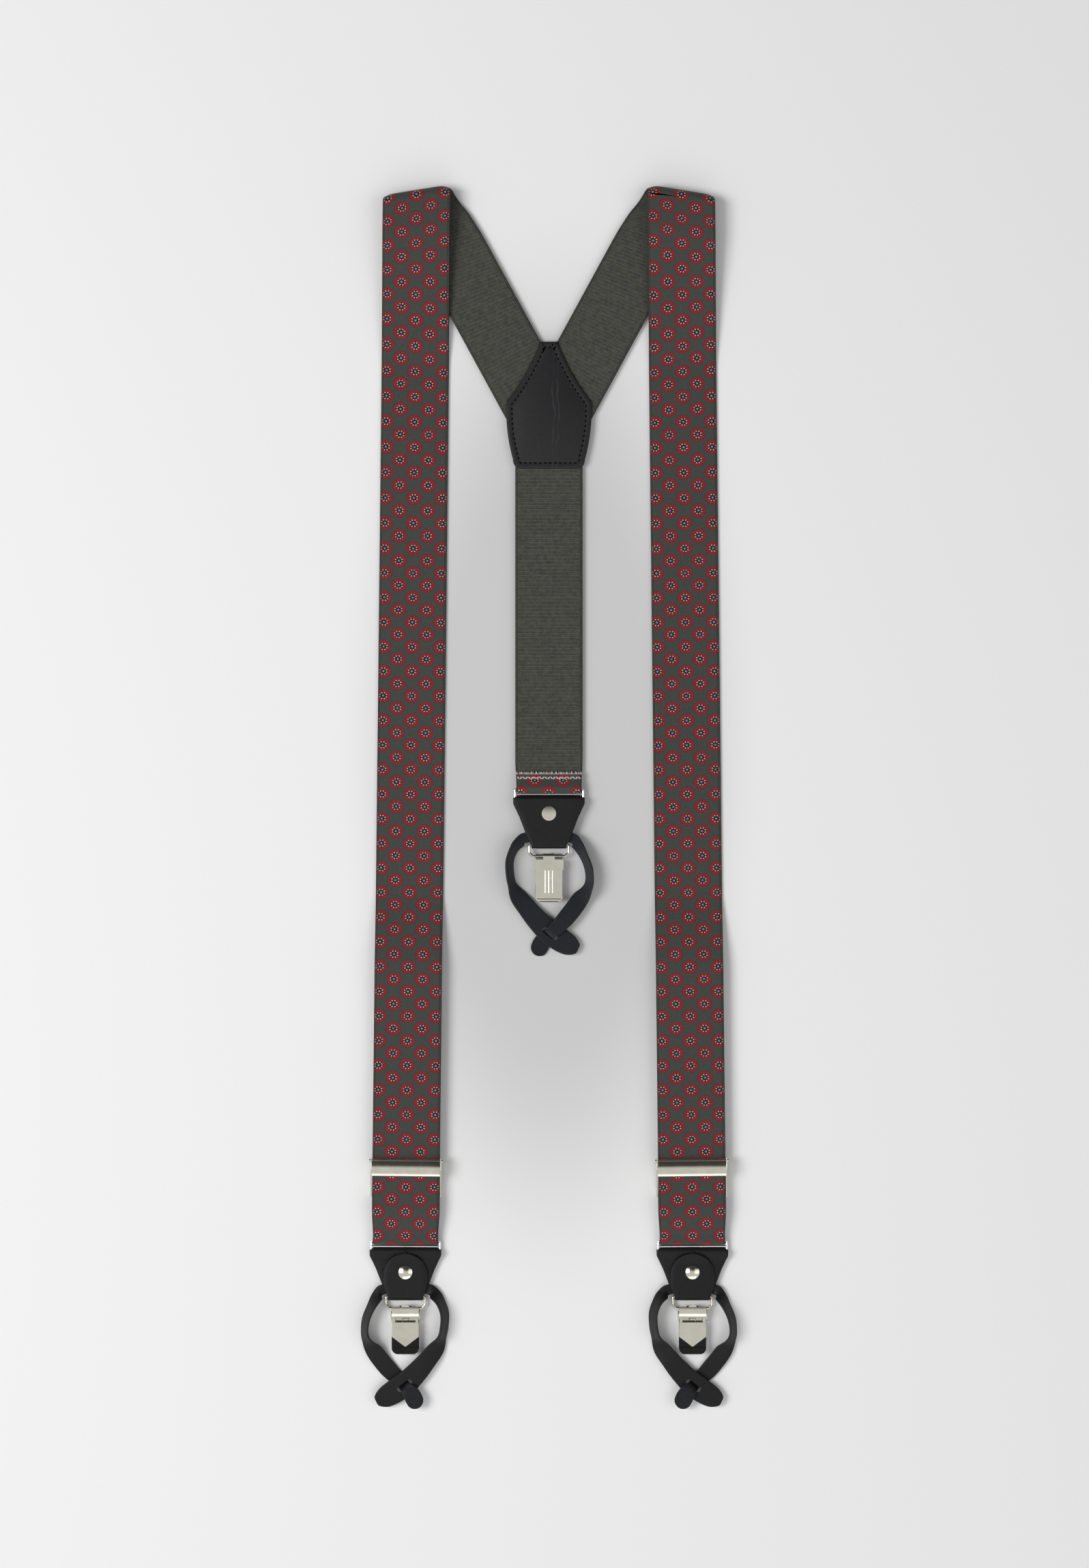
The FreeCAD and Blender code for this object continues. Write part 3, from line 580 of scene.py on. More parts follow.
def placed_rows(path, place, half, v_start, v_sign):
    """Rows of a YZ path set in the object's frame. Half is a number or a function of (y, distance)."""
    rotation = place.to_3x3()
    rows = []
    for y, z, angle, gone in path:
        a = math.radians(angle)
        up = rotation @ Vector((0, -math.sin(a), math.cos(a)))
        width = half(y, gone) if callable(half) else half
        across = rotation @ Vector((1, 0, 0))
        rows.append((place @ Vector((0, y, z)), across, up, width, v_start + v_sign * gone))
    return rows


# Straps

# Height of a rosette's centre above the ring on the front straps and in the hem, and where and how much the
# upper part of the print is stretched
MOTIF_V = 4.7
HEM_MOTIF_V = -3.8
STRETCH_FROM = 363.0
STRETCH = 1.029

# Runs along the straps: level over the adjuster, level before the fold, and the part whose end is slanted
ADJUSTER_RUN = 100
FOLD_RUN = 14
SLANT_RUN = 60
STRAP_COLUMNS = 16

# Where the centre strap and the back straps end under the patch, and two flat lengths
CENTRE_TOP_Y = 197.0
BACK_START = 8.0


def print_v(v):
    """How far up the print a point lies that is v up the strap."""
    return min(v, STRETCH_FROM) + max(0.0, v - STRETCH_FROM) / STRETCH - MOTIF_V


def eased(share):
    """A smooth step from 0 to 1."""
    share = min(1.0, max(0.0, share))
    return share * share * (3 - 2 * share)


def wrap_width(low):
    """Half width of a strap that is pinched where it goes round the ring, full again 14 mm above it."""
    def half(y, gone):
        return WRAP_HALF + (ELASTIC_W / 2 - WRAP_HALF) * eased((y - low) / 14.0)
    return half


def fold_line():
    """The left fold, as in the CAD source: start, leaving point, direction along it and across it."""
    a = math.radians(BACK_ANGLE)
    t = math.radians(TILT)
    up = Vector((-math.sin(a), math.cos(a), 0))
    down = Vector((-math.sin(t), -math.cos(t), 0))
    along = -(up + down).normalized()
    normal = Vector((-along.y, along.x, 0))
    drift = along * (math.pi * FOLD_R * up.dot(along) / up.dot(normal))
    origin = Vector((0, CROSS_Y, 0)) + drift - Vector((-RING_X, RING_Y, 0))
    det = up.x * down.y - up.y * down.x
    reach = -(origin.x * down.y - origin.y * down.x) / det
    start = Vector((0, CROSS_Y, 0)) + up * reach
    return start, start + drift, along, normal, up, down


FOLD_START, FOLD_END, FOLD_ALONG, FOLD_NORMAL, BACK_UP, FRONT_DOWN = fold_line()
HIGH_Z = YOKE_Z + 2 * FOLD_R
FRONT_TOP = (FOLD_END - Vector((-RING_X, RING_Y, 0))).length


def slanted_band(name, rows, thick, materials, slant_from, point, direction, lengthwise):
    """A band whose far rows lean over to end on a slanted line."""
    made = band(name, rows, thick, materials, STRAP_COLUMNS)
    normal = Vector((-direction.y, direction.x, 0))
    for vert in made.data.vertices:
        place = vert.co / MM
        gone = (place - slant_from).dot(lengthwise)
        total = (point - slant_from).dot(lengthwise)
        if gone <= 0:
            continue
        ray = lengthwise.dot(normal)
        own = (point - (place - lengthwise * gone)).dot(normal) / ray
        scale = own / total
        vert.co = (place + lengthwise * (gone * scale - gone)) * MM
    made.data.update()
    return made


def settled(piece):
    """The folded cloth sags towards its inner end and rounds over at both corners."""
    middle = (FOLD_START + FOLD_END) / 2
    for vert in piece.data.vertices:
        place = vert.co / MM
        along = min(18.0, max(-18.0, (place - middle).dot(FOLD_ALONG)))
        beyond = (place - middle).dot(FOLD_NORMAL)
        drop = 0.085 * (along + 18.0) * eased((beyond + 30.0) / 30.0)
        drop += 2.4 * max(0.0, (along - 11.0) / 7.0) ** 2 * eased((beyond + 15.0) / 17.0)
        drop += 1.1 * max(0.0, (-along - 13.0) / 5.0) ** 2 * eased((beyond + 5.0) / 6.0)
        vert.co.y -= drop * MM
    piece.data.update()
    tidy_normals(piece)
    return piece


def leaning_print(piece):
    """The rows of the print lean a little near the shoulder and straighten out lower down."""
    for spot in piece.data.uv_layers["cloth"].data:
        spot.uv[1] += spot.uv[0] * SKEW * eased((spot.uv[1] + MOTIF_V - 385.0) / 100.0)
    return piece


def front_run():
    """From the adjuster down to the table, along it, and up to the fold."""
    climb, climb_length = rise(PASS_Z - FLOOR_Z, 9, 50)
    drop, drop_length = rise(HIGH_Z - FLOOR_Z, 7, 60)
    rest = FRONT_TOP - FOLD_RUN - drop_length - FRONT_CUT - ADJUSTER_RUN - climb_length
    moves = [("go", ADJUSTER_RUN)] + reversed_turns(climb) + [("go", rest)] + drop + [("go", FOLD_RUN)]
    path = trace((FRONT_CUT, PASS_Z), 0, moves, step=3.0, bend=2)
    rows = placed_rows(path, STRAP_PLACE, ELASTIC_W / 2, 0, 1)
    rows = [(c, a, u, h, print_v(y)) for (c, a, u, h, _), (y, _, _, _) in zip(rows, path)]
    base = STRAP_PLACE @ Vector((0, FRONT_TOP - SLANT_RUN, 0))
    return slanted_band("left_front_strap", rows, ELASTIC_T, (PRINT, PLAIN, EDGE), base,
                        FOLD_END, FOLD_ALONG, -FRONT_DOWN)


def back_run():
    """From under the patch to the fold, inner face up."""
    start = Vector((0, CROSS_Y, 0)) + BACK_UP * BACK_START
    across = Vector((math.cos(math.radians(BACK_ANGLE)), math.sin(math.radians(BACK_ANGLE)), 0))
    total = (FOLD_START - start).length
    rows = []
    count = 44
    for i in range(count + 1):
        at = start + BACK_UP * (total * i / count)
        at.z = YOKE_Z
        rows.append((at, across, Vector((0, 0, 1)), ELASTIC_W / 2, total * i / count))
    return slanted_band("left_back_strap", rows, ELASTIC_T, (PLAIN, PRINT, EDGE), start + BACK_UP * 20,
                        FOLD_START, FOLD_ALONG, BACK_UP)


def fold():
    """The soft half turn over the shoulder, printed face outward."""
    slant = BACK_UP.dot(FOLD_ALONG) / BACK_UP.dot(FOLD_NORMAL)
    widen = 1 / BACK_UP.dot(FOLD_NORMAL)
    rows = []
    steps = 20
    for i in range(steps + 1):
        turn = math.pi * i / steps
        out = FOLD_NORMAL * math.sin(turn) + Vector((0, 0, -math.cos(turn)))
        middle = FOLD_START + FOLD_ALONG * (FOLD_R * turn * slant) + Vector((0, 0, YOKE_Z + FOLD_R))
        v = print_v(FRONT_TOP + FOLD_R * (math.pi - turn))
        rows.append((middle + out * FOLD_R, FOLD_ALONG * widen, out, ELASTIC_W / 2, v))
    return band("left_fold_strap", rows, ELASTIC_T, (PRINT, PLAIN, EDGE), STRAP_COLUMNS)


def loop():
    """Through the adjuster, round the ring, back up and round the adjuster's lower bar."""
    over = PASS_Z - (RING_Z + ELASTIC_WRAP)
    descent, covered = rise(-over, 9, 8.0)
    tail_drop, _ = rise(2 * TAIL_WRAP - ELASTIC_T - GAP, 30, 2.0)
    moves = [("go", FRONT_CUT - GAP - RING_UPPER - 3.0 - covered)]
    moves += reversed_turns(descent)
    moves += [("go", 3.0), ("turn", ELASTIC_WRAP, 180)]
    moves += [("go", TAIL_BAR_Y - RING_UPPER), ("turn", TAIL_WRAP, 180), ("go", 0.5)]
    moves += tail_drop + [("go", 8.0)]
    path = trace((FRONT_CUT - GAP, PASS_Z), 180, moves, step=2.0)
    v_start = FRONT_CUT - GAP - MOTIF_V - 0.9
    rows = placed_rows(path, STRAP_PLACE, wrap_width(RING_UPPER + 2.0), v_start, -1)
    return band("left_loop_strap", rows, ELASTIC_T, (PLAIN, PRINT, EDGE), STRAP_COLUMNS)


def centre_strap():
    """The back strap, inner face up, with its end turned over the ring and sewn down."""
    wrap_y = BACK_RING_Y + RING_UPPER
    over = ELASTIC_WRAP * 2 - ELASTIC_T - GAP
    descent, covered = rise(-over, 24, 3.0)
    moves = [("go", CENTRE_TOP_Y - wrap_y), ("turn", ELASTIC_WRAP, -180), ("go", 0.3)]
    moves += descent + [("go", HEM_END_Y - wrap_y - 0.3 - covered)]
    path = trace((CENTRE_TOP_Y, YOKE_Z), 180, moves)
    rows = placed_rows(path, Matrix.Identity(4), wrap_width(wrap_y + 1.0), HEM_MOTIF_V, 1)
    return band("centre_strap", rows, ELASTIC_T, (PRINT, PLAIN, EDGE), STRAP_COLUMNS)


def build_straps():
    """The front straps follow their front bodies and the back and centre straps the harness; the fold and
    the loop are fixed in place.
    """
    makers = {"front_strap": front_run, "back_strap": back_run, "fold_strap": fold, "loop_strap": loop}
    nodes = {
        "front_strap": "front_elastic",
        "back_strap": "back_elastic",
        "fold_strap": "fold_elastic",
        "loop_strap": "loop_elastic",
    }
    for word, maker in makers.items():
        left = maker() if word == "loop_strap" else settled(maker())
        if word in ("front_strap", "fold_strap"):
            leaning_print(left)
        right = mirrored_copy(left, "right_" + word)
        for side, piece in zip(SIDES, (left, right)):
            sign = 1 if side == "left" else -1

            def at(p):
                return (p.x * sign * MM, p.y * MM, p.z * MM)

            if word == "front_strap":
                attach(piece, side + "_front")
            elif word == "back_strap":
                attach(piece, "harness")
            elif word == "fold_strap":
                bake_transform(piece)
            else:
                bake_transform(piece)
            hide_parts(side + "_" + nodes[word])
    centre = centre_strap()
    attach(centre, "harness")
    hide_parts("centre_elastic")


# Yoke

YOKE_TOP = (4.4, 236.3)
YOKE_FOOT = (14.7, 170.2)
# Right half of the outline from the top down, each arc as start, middle, end
YOKE_ARCS = [
    (YOKE_TOP, (12.1, 219.9), (20.6, 206.9)),
    ((20.6, 206.9), (22.1, 204.4), (22.2, 200.8)),
    ((22.2, 200.8), (21.3, 187.5), (18.7, 175.2)),
    ((18.7, 175.2), (17.4, 171.6), YOKE_FOOT),
]
STITCH_INSET = 3.0


def arc_points(a, b, c, step):
    """Points on the circle through three points, from a to just before c."""
    ax, ay = a
    bx, by = b
    cx, cy = c
    d = 2 * (ax * (by - cy) + bx * (cy - ay) + cx * (ay - by))
    aa, bb, cc = ax * ax + ay * ay, bx * bx + by * by, cx * cx + cy * cy
    ux = (aa * (by - cy) + bb * (cy - ay) + cc * (ay - by)) / d
    uy = (aa * (cx - bx) + bb * (ax - cx) + cc * (bx - ax)) / d
    radius = math.hypot(ax - ux, ay - uy)
    start = math.atan2(ay - uy, ax - ux)
    end = math.atan2(cy - uy, cx - ux)
    sweep = (end - start + math.pi) % (2 * math.pi) - math.pi
    count = max(2, math.ceil(abs(sweep) * radius / step))
    turns = [start + sweep * i / count for i in range(count)]
    return [(ux + radius * math.cos(turn), uy + radius * math.sin(turn)) for turn in turns]


def yoke_outline():
    """The patch's whole outline, clockwise from its top right corner."""
    right = []
    for arc in YOKE_ARCS:
        right += arc_points(*arc, 0.8)
    right.append(YOKE_FOOT)
    foot_x, foot_y = YOKE_FOOT
    bottom = [(foot_x - 2 * foot_x * i / 36, foot_y) for i in range(1, 36)]
    left = [(-x, y) for x, y in reversed(right)]
    top = [(-4.25 + 8.5 * i / 10, YOKE_TOP[1]) for i in range(1, 10)]
    return right + bottom + left + top


def inset(points, distance):
    """The outline moved inward by a distance, corner by corner."""
    count = len(points)
    moved = []
    for i in range(count):
        p0 = Vector(points[i - 1])
        p1 = Vector(points[i])
        p2 = Vector(points[(i + 1) % count])
        n1 = Vector((-(p1 - p0).y, (p1 - p0).x)).normalized()
        n2 = Vector((-(p2 - p1).y, (p2 - p1).x)).normalized()
        mean = (n1 + n2).normalized()
        stretch = min(1.6, 1 / max(0.5, mean.dot(n1)))
        moved.append(p1 - mean * distance * stretch)
    return moved


def yoke_plate(name, base, rounded_up, puff):
    """A leather plate: rounded rim, a pressed-in seam line, and a softly raised middle."""
    outline = yoke_outline()
    levels = [
        (0.0, 0.45 * LEATHER_T),
        (0.08, 0.72 * LEATHER_T),
        (0.3, 0.92 * LEATHER_T),
        (0.8, LEATHER_T),
        (2.45, LEATHER_T + 0.25 * puff),
        (STITCH_INSET, LEATHER_T - 0.25 * puff),
        (3.6, LEATHER_T + 0.3 * puff),
    ]
    verts = []
    rings = []
    direction = 1 if rounded_up else -1
    start = base if rounded_up else base + LEATHER_T
    for distance, height in [(0.15, 0.0), (0.0, 0.12)] + levels:
        ring = []
        for p in inset(outline, distance):
            ring.append(len(verts))
            verts.append(Vector((p.x, p.y, start + direction * height)))
        rings.append(ring)
    faces = []
    count = len(outline)
    for a, b in zip(rings, rings[1:]):
        for i in range(count):
            k = (i + 1) % count
            faces.append((a[i], a[k], b[k], b[i]))
    faces.append(tuple(rings[0]))
    faces.append(tuple(rings[-1]))
    made = mesh_object(name, verts, faces, (CREASED, CUT))
    tidy_normals(made, 60)
    return made


def stitches(name, line, pitch, length, z, material, closed=True):
    """Short thread stitches along a line: each a small bead, sunk a little at both ends."""
    rows = 6
    around = 8
    runs = []
    total = 0.0
    count = len(line)
    for i in range(count if closed else count - 1):
        a = Vector(line[i][:2])
        b = Vector(line[(i + 1) % count][:2])
        runs.append((total, a, b))
        total += (b - a).length
    number = round(total / pitch)
    real = total / number
    verts = []
    faces = []
    for s in range(number):
        want = (s + 0.5) * real
        for gone, a, b in runs:
            if gone <= want < gone + (b - a).length + 1e-9:
                break
        ahead = (b - a).normalized()
        middle = a + ahead * (want - gone)
        side = Vector((-ahead.y, ahead.x))
        base = len(verts)
        for i in range(rows + 1):
            t = -1 + 2 * i / rows
            wide = 0.42 * math.sqrt(max(0.03, 1 - t * t * 0.92))
            sink = 0.16 * t * t
            for j in range(around):
                angle = 2 * math.pi * j / around
                flat = middle + ahead * (t * length / 2) + side * (wide * math.cos(angle))
                verts.append(Vector((flat.x, flat.y, z - sink + wide * 0.8 * math.sin(angle))))
        for i in range(rows):
            for j in range(around):
                k = (j + 1) % around
                faces.append((base + i * around + j, base + i * around + k,
                              base + (i + 1) * around + k, base + (i + 1) * around + j))
        faces.append(tuple(base + j for j in range(around)))
        faces.append(tuple(base + rows * around + j for j in range(around)))
    made = mesh_object(name, verts, faces, (material,))
    tidy_normals(made, 80)
    return made


def build_yoke():
    top = LEATHER_T + ELASTIC_T
    front = yoke_plate("yoke_front", top, True, 0.42)
    rear = yoke_plate("yoke_rear", 0.0, False, 0.0)
    line = inset(yoke_outline(), STITCH_INSET)
    sewn = stitches("yoke_stitching", line, 2.6, 1.4, top + LEATHER_T - 0.02, THREAD)
    for piece, node in ((front, "yoke_front_leather"), (rear, "yoke_rear_leather")):
        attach(piece, "harness")
        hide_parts(node)
    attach(sewn, "harness")


def build_hem():
    """The back strap's raw end: a zigzag seam across it and a strip of pale loose threads."""
    layer_top = YOKE_Z + ELASTIC_T + GAP + ELASTIC_T / 2
    line = []
    count = 23
    for i in range(count + 1):
        line.append(Vector((-16.6 + 33.2 * i / count, HEM_END_Y - 1.0 - 1.5 * (i % 2), 0)))
    length = (line[1] - line[0]).length
    sewn = stitches("hem_stitching", line, length, length * 0.85, layer_top + 0.02, FRAYED, closed=False)
    verts = []
    faces = []
    tufts = 70
    for i in range(tufts):
        x = -16.9 + 33.8 * i / (tufts - 1)
        reach = 1.15 + 0.55 * math.sin(i * 2.4) * math.sin(i * 0.9)
        lean = 0.35 * math.sin(i * 5.1)
        base = len(verts)
        root = (HEM_END_Y - 0.4, 0.26, layer_top - 0.5)
        tip = (HEM_END_Y + reach, 0.12, layer_top - 0.75)
        for y, half, z in (root, tip):
            shift = lean if y > HEM_END_Y else 0.0
            for dx, dz in ((-half, -0.16), (half, -0.16), (half, 0.16), (-half, 0.16)):
                verts.append(Vector((x + shift + dx, y, z + dz)))
        faces += [(base + j, base + (j + 1) % 4, base + 4 + (j + 1) % 4, base + 4 + j) for j in range(4)]
        faces.append(tuple(base + j for j in range(4)))
        faces.append(tuple(base + 4 + j for j in range(4)))
    loose = mesh_object("hem_loose_threads", verts, faces, (FRAYED,))
    tidy_normals(loose, 30)
    for piece in (sewn, loose):
        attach(piece, "harness")


# Leather end tabs

def tab_half_width(y):
    """Half width of the tab below the ring, narrowing to the hook."""
    spots = [(2.0, WRAP_HALF), (-RING_LOWER - 1.0, WRAP_HALF), (-RING_LOWER - 2.2, TAB_HALF), (-12.0, 15.3),
             (-21.6, 11.6), (HOOK_Y, 9.3), (-28.6, 9.0)]
    for (y0, w0), (y1, w1) in zip(spots, spots[1:]):
        if y >= y1:
            return w0 + (w1 - w0) * min(1.0, max(0.0, (y0 - y) / (y0 - y1)))
    return spots[-1][1]


def flap_half_width(y):
    """Half width of the front flap: a half disc at the top, parallel sides, narrowing to the hook."""
    centre = FLAP_TOP_Y - FLAP_HALF
    if y > centre:
        return math.sqrt(max(0.05, FLAP_HALF ** 2 - (y - centre) ** 2))
    if y > -20.5:
        return FLAP_HALF
    return 9.3 + (FLAP_HALF - 9.3) * max(0.0, (y - HOOK_Y) / (-20.5 - HOOK_Y))


def end_tab(name, place):
    """One leather strip: up the rear, round the ring, down the front, round the hook, and up as the flap."""
    slope, bend = 20, 3.0
    climb, covered = rise(2 * LEATHER_WRAP - LAYER, slope, bend)
    lap_end = -19.5
    flap_start = -RING_LOWER - covered - 0.75
    moves = [("go", -RING_LOWER - covered - lap_end)] + climb
    moves += [("turn", LEATHER_WRAP, -180), ("go", -RING_LOWER - HOOK_Y), ("turn", LAYER, -180)]
    moves += [("go", flap_start - HOOK_Y)] + climb + [("go", 0.99)]
    path = trace((lap_end, TONGUE_Z + LAYER), 0, moves, step=0.7)
    ring_from = -RING_LOWER - covered - lap_end + climb[1][1] + 2 * bend * math.radians(slope)
    ring_to = ring_from + math.pi * LEATHER_WRAP
    flap_from = ring_to - RING_LOWER - HOOK_Y + math.pi * LAYER
    narrow_from = ring_from + LEATHER_WRAP * math.radians(40)
    narrow_to = narrow_from + LEATHER_WRAP * math.radians(100)

    def half(y, gone):
        if gone > flap_from - 0.01:
            return flap_half_width(y)
        if (gone < narrow_from or gone > narrow_to) and y > -RING_LOWER - 2.2:
            return TAB_HALF
        return tab_half_width(y)

    rows = placed_rows(path, place, half, 0, 1)
    return band(name, rows, LEATHER_T, (LEATHER, SUEDE, CUT), 10, 0.4)


# Button straps

# Stations from behind the tab to the tip: x, y, height, heading, roll, pitch and width. A height by name is
# worked out for each end, because the back end lies turned over.
LEFT_ARM = [
    (0, -22.55, "tab", 180, 0, 0, 5.4),
    (-11.5, -22.6, "tab", 181, 0, 0, 5.4),
    (-14.6, -26.0, "mid", 236, 35, 0, 7.0),
    (-17.5, -30.8, "arm", 240, 60, 0, 8.2),
    (-20.5, -38.0, "arm", 259, ARM_TURN, 0, ARM_W),
    (-21.1, -45.1, "arm", 277, ARM_TURN, 0, ARM_W),
    (-19.6, -49.6, "arm", 291, ARM_TURN - 12, 0, ARM_W),
    (-16.4, -54.3, 3.1, 302, 18, 0, 9.2),
    (-13.3, -58.8, 1.9, 305, 4, 0, 9.2),
    (-8.8, -64.4, 1.2, 309, 0, 0, 9.0),
    (-4.4, -69.0, 1.0, 314, 0, 0, 7.6),
    (-2.0, -71.2, 1.1, 315, 0, 20, 6.4),
    (-0.9, -72.2, 2.2, 315, 0, 62, 6.2),
    (-0.1, -73.0, 4.1, 315, 0, 62, 6.2),
    (1.6, -74.3, 5.05, 305, 0, 10, 7.8),
    (3.6, -77.2, 5.1, 297, 0, 0, 9.0),
    (5.2, -80.4, 5.05, 296, 0, 0, 8.9),
    (6.0, -82.2, 5.0, 296, 0, 0, 7.4),
    (6.5, -83.2, 5.0, 296, 0, 0, 5.0),
    (6.7, -83.6, 5.0, 296, 0, 0, 3.2),
]
RIGHT_ARM = [
    (0, -22.55, "tab", 0, 0, 0, 5.4),
    (11.5, -22.5, "tab", -1, 0, 0, 5.4),
    (15.2, -25.0, "mid", -45, -35, 0, 7.0),
    (18.2, -28.6, "arm", -58, -60, 0, 8.2),
    (20.4, -35.0, "arm", -84, -ARM_TURN, 0, ARM_W),
    (20.1, -42.6, "arm", -98, -ARM_TURN, 0, ARM_W),
    (18.8, -47.6, "arm", -108, 5 - ARM_TURN, 0, ARM_W),
    (15.8, -53.4, 3.3, -120, -22, 0, 9.4),
    (11.6, -58.9, 3.3, -129, -5, 0, 9.9),
    (7.2, -64.2, 3.2, -136, 0, 0, 11.0),
    (1.2, -70.4, 3.2, -142, 0, 0, 12.2),
    (-5.0, -75.1, 3.2, -147, 0, 0, 12.6),
    (-10.2, -78.3, 3.2, -151, 0, 0, 11.2),
    (-13.2, -79.8, 3.2, -153, 0, 0, 8.4),
    (-15.0, -80.6, 3.2, -154, 0, 0, 5.2),
]
SLOT_AT = (-0.5, -72.6)
SLOT_ANGLE = 38
KNOB_BELOW = -73.4


def smooth_stations(stations, per=7):
    """Stations eased along a Catmull-Rom curve, so that the band flows."""
    made = []
    last = len(stations) - 1
    for i in range(last):
        p = [stations[max(0, min(last, i + k))] for k in (-1, 0, 1, 2)]
        for s in range(per):
            t = s / per
            made.append(tuple(0.5 * (2 * b + (c - a) * t + (2 * a - 5 * b + 4 * c - d) * t * t
                                     + (3 * b - a - 3 * c + d) * t ** 3)
                              for a, b, c, d in zip(*p)))
    made.append(stations[-1])
    return made


def arm_rows(stations, arm_z, place):
    """Rows of a band for one arm, with its named heights worked out."""
    tab_z = TONGUE_Z + LAYER
    heights = {"mid": (tab_z + arm_z) / 2, "arm": arm_z, "tab": tab_z}
    exact = [(x, y, heights.get(z, z), *rest) for x, y, z, *rest in stations]
    rotation = place.to_3x3()
    rows = []
    gone = 0.0
    before = None
    for x, y, z, facing, turn, pitch, width in smooth_stations(exact):
        a, b, c = math.radians(facing), math.radians(pitch), math.radians(turn)
        ahead = Vector((math.cos(a) * math.cos(b), math.sin(a) * math.cos(b), math.sin(b)))
        flat = Vector((-math.sin(a), math.cos(a), 0))
        normal = ahead.cross(flat)
        wide = flat * math.cos(c) + normal * math.sin(c)
        deep = ahead.cross(wide)
        at = Vector((x, y, z))
        if before is not None:
            gone += (at - before).length
        before = at
        rows.append((place @ at, rotation @ wide, rotation @ deep, width / 2, gone))
    return rows


def button_strap(name, place, arm_z):
    """Both arms, the left one's knob with its flesh side up."""
    made = []
    for tag, stations in (("a", LEFT_ARM), ("b", RIGHT_ARM)):
        rows = arm_rows(stations, arm_z, place)
        tip, wide, deep, half, gone = rows[-1]
        ahead = (tip - rows[-2][0]).normalized()
        rows.append((tip + ahead * 0.25, wide, deep, half * 0.6, gone + 0.25))
        made.append(band(name + "_" + tag, rows, STRAP_T, (LEATHER, SUEDE, CUT), 8))
    back = place.inverted()
    for face in made[0].data.polygons:
        spot = back @ (face.center / MM)
        if spot.y < KNOB_BELOW and spot.x > 0.2:
            face.material_index = 1
    return made


def join(name, pieces):
    """The pieces as one object."""
    bpy.ops.object.select_all(action="DESELECT")
    for piece in pieces:
        piece.select_set(True)
    bpy.context.view_layer.objects.active = pieces[0]
    bpy.ops.object.join()
    pieces[0].name = name
    pieces[0].data.name = name
    return pieces[0]


def cut_slot(obj, place):
    """The button slot through the wide lobe."""
    half = 4.6
    radius = 1.5
    outline = []
    for i in range(9):
        a = -math.pi / 2 + math.pi * i / 8
        outline.append((half - radius + radius * math.cos(a), radius * math.sin(a)))
    outline += [(-x, -y) for x, y in outline]
    turn = Matrix.Translation((*SLOT_AT, 0)) @ turned(SLOT_ANGLE)
    verts = [place @ (turn @ Vector((x, y, z))) for z in (2.3, 4.1) for x, y in outline]
    n = len(outline)
    faces = [tuple(range(n)), tuple(range(n, 2 * n))]
    faces += [(i, (i + 1) % n, n + (i + 1) % n, n + i) for i in range(n)]
    cutter = mesh_object("slot_cutter", verts, faces, (CUT,))
    tidy_normals(cutter)
    modifier = obj.modifiers.new("slot", "BOOLEAN")
    modifier.operation = "DIFFERENCE"
    modifier.solver = "EXACT"
    modifier.object = cutter
    bpy.context.view_layer.objects.active = obj
    bpy.ops.object.select_all(action="DESELECT")
    obj.select_set(True)
    bpy.ops.object.modifier_apply(modifier="slot")
    bpy.data.objects.remove(cutter)
    tidy_normals(obj, 45)


def build_ends():
    """The left end, the back end turned over, and the right end as the left one's mirror image."""
    pieces = {}
    modelled = (("left", END_PLACE, ARM_CENTRE), ("back", BACK_PLACE, END_HEIGHT - ARM_CENTRE))
    for end, place, arm_z in modelled:
        arms = button_strap(end + "_button_strap", place, arm_z)
        cut_slot(arms[1], place)
        pieces[end] = {
            "end_tab": end_tab(end + "_tab_leather", place),
            "button_strap": join(end + "_button_leather", arms),
        }
    pieces["right"] = {key: mirrored_copy(piece, piece.name.replace("left", "right"))
                       for key, piece in pieces["left"].items()}
    for end in ENDS:
        for node, slot in (("end_tab", "leather"), ("button_strap", "suede")):
            piece = pieces[end][node]
            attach(piece, end + "_end")
            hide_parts(end + "_" + node)


# CAD hardware keeps its shape and gets finishes; the pads' near-black is a painted reflection and the ring
# wires' whiter nickel a painted highlight

def finish_hardware():
    # The pads get the painted dark reflection and the ring wires the painted highlight.
    words = {"pad": PADS_DARK_REFLECTION, "spring": STEEL, "loop_ring": RING_PAINTED_HIGHLIGHT}
    for name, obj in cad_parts.items():
        if obj.hide_render:
            continue
        chosen = NICKEL
        for word, material in words.items():
            if word in name:
                chosen = material
        obj.data.materials.clear()
        obj.data.materials.append(chosen)


# Stage

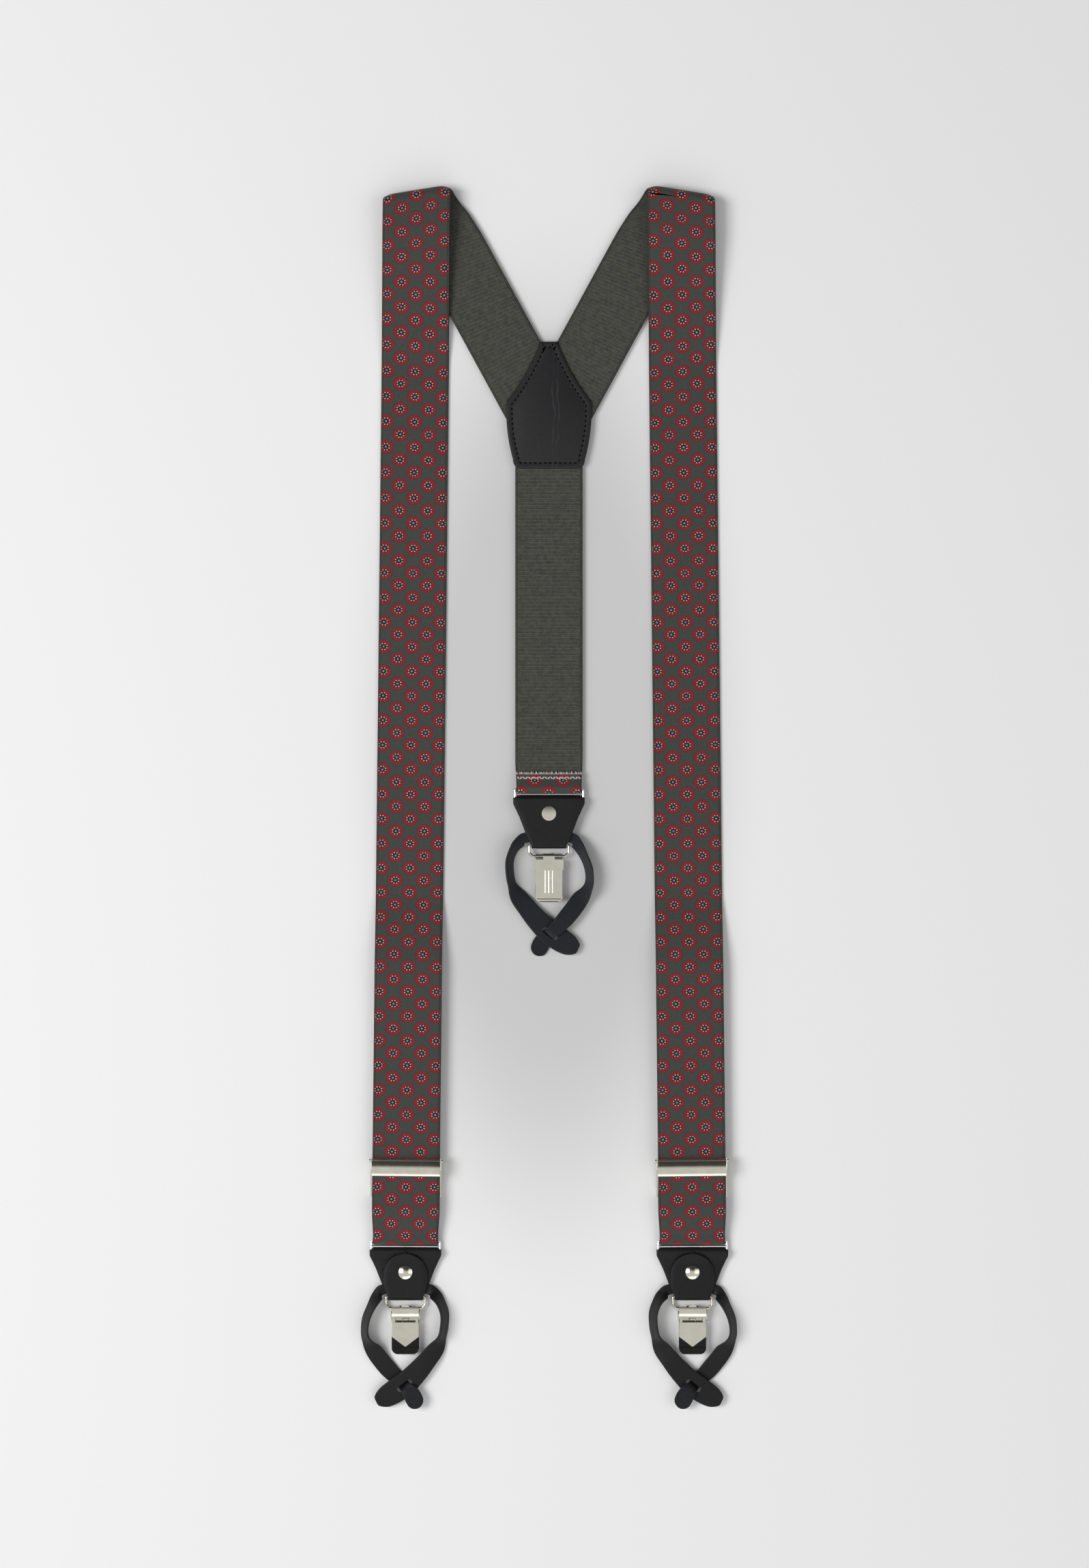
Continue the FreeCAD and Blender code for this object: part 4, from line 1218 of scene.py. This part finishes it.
def build_stage():
    """A pale floor with a soft grey painted shadow under the object."""
    half = 3.0
    floor = bpy.data.meshes.new("floor")
    corners = [(-half, -half, 0), (half, -half, 0), (half, half, 0), (-half, half, 0)]
    floor.from_pydata(corners, [], [(0, 1, 2, 3)])
    n = Nodes("pale_floor_painted_shadow")
    split = n.node("ShaderNodeSeparateXYZ")
    n.link(n.place(), split.inputs[0])
    x = n.math("DIVIDE", split.outputs[0], 0.115)
    y = n.math("DIVIDE", n.math("SUBTRACT", split.outputs[1], 0.02), 0.3)
    # Painted shadow: the floor colour darkens from pale to grey in a soft oval under the object.
    shade = n.below(n.length(x, y), 0.72, 0.28)
    n.set(colour=n.mix(shade, rgb(240, 240, 240), rgb(206, 206, 206)), rough=0.9, specular=0.1)
    floor.materials.append(n.material)
    obj = bpy.data.objects.new("floor", floor)
    bpy.context.scene.collection.objects.link(obj)


def area_light(name, place, target, size, power):
    data = bpy.data.lights.new(name, "AREA")
    data.shape = "RECTANGLE"
    data.size, data.size_y = size
    data.energy = power
    obj = bpy.data.objects.new(name, data)
    obj.location = place
    obj.rotation_euler = (Vector(target) - Vector(place)).to_track_quat("-Z", "Y").to_euler()
    bpy.context.scene.collection.objects.link(obj)


def build_light():
    """Pale surroundings that darken beyond the shoulders, a large key from the left and two weak fills."""
    world = bpy.data.worlds.new("studio")
    bpy.context.scene.world = world
    world.use_nodes = True
    tree = world.node_tree
    background = tree.nodes["Background"]
    place = tree.nodes.new("ShaderNodeTexCoord")
    split = tree.nodes.new("ShaderNodeSeparateXYZ")
    ramp = tree.nodes.new("ShaderNodeValToRGB")
    tree.links.new(place.outputs["Generated"], split.inputs[0])
    tree.links.new(split.outputs[1], ramp.inputs[0])
    ramp.color_ramp.elements[0].position = 0.0
    ramp.color_ramp.elements[0].color = (0.66, 0.66, 0.66, 1)
    ramp.color_ramp.elements[1].position = 0.24
    ramp.color_ramp.elements[1].color = (0.05, 0.05, 0.05, 1)
    tree.links.new(ramp.outputs[0], background.inputs["Color"])
    background.inputs["Strength"].default_value = 1.0
    area_light("key", (-1.4, 0.0, 1.7), (0, 0, 0), (1.0, 1.0), 28)
    area_light("fill", (1.4, -0.2, 1.6), (0, 0, 0), (1.4, 1.4), 5)
    area_light("low", (0.1, -1.5, 0.9), (0, -0.1, 0), (1.6, 0.6), 3)


def build_camera():
    """Straight down from above, with a long lens."""
    data = bpy.data.cameras.new("camera")
    data.sensor_fit = "VERTICAL"
    data.sensor_height = 36
    data.lens = 80
    obj = bpy.data.objects.new("camera", data)
    obj.location = (-0.0023, 0.0064, 1.8145)
    bpy.context.scene.collection.objects.link(obj)
    bpy.context.scene.camera = obj


build_stage()
build_light()
build_camera()
build_straps()
build_yoke()
build_hem()
build_ends()
finish_hardware()
bpy.context.scene.view_settings.view_transform = "Standard"
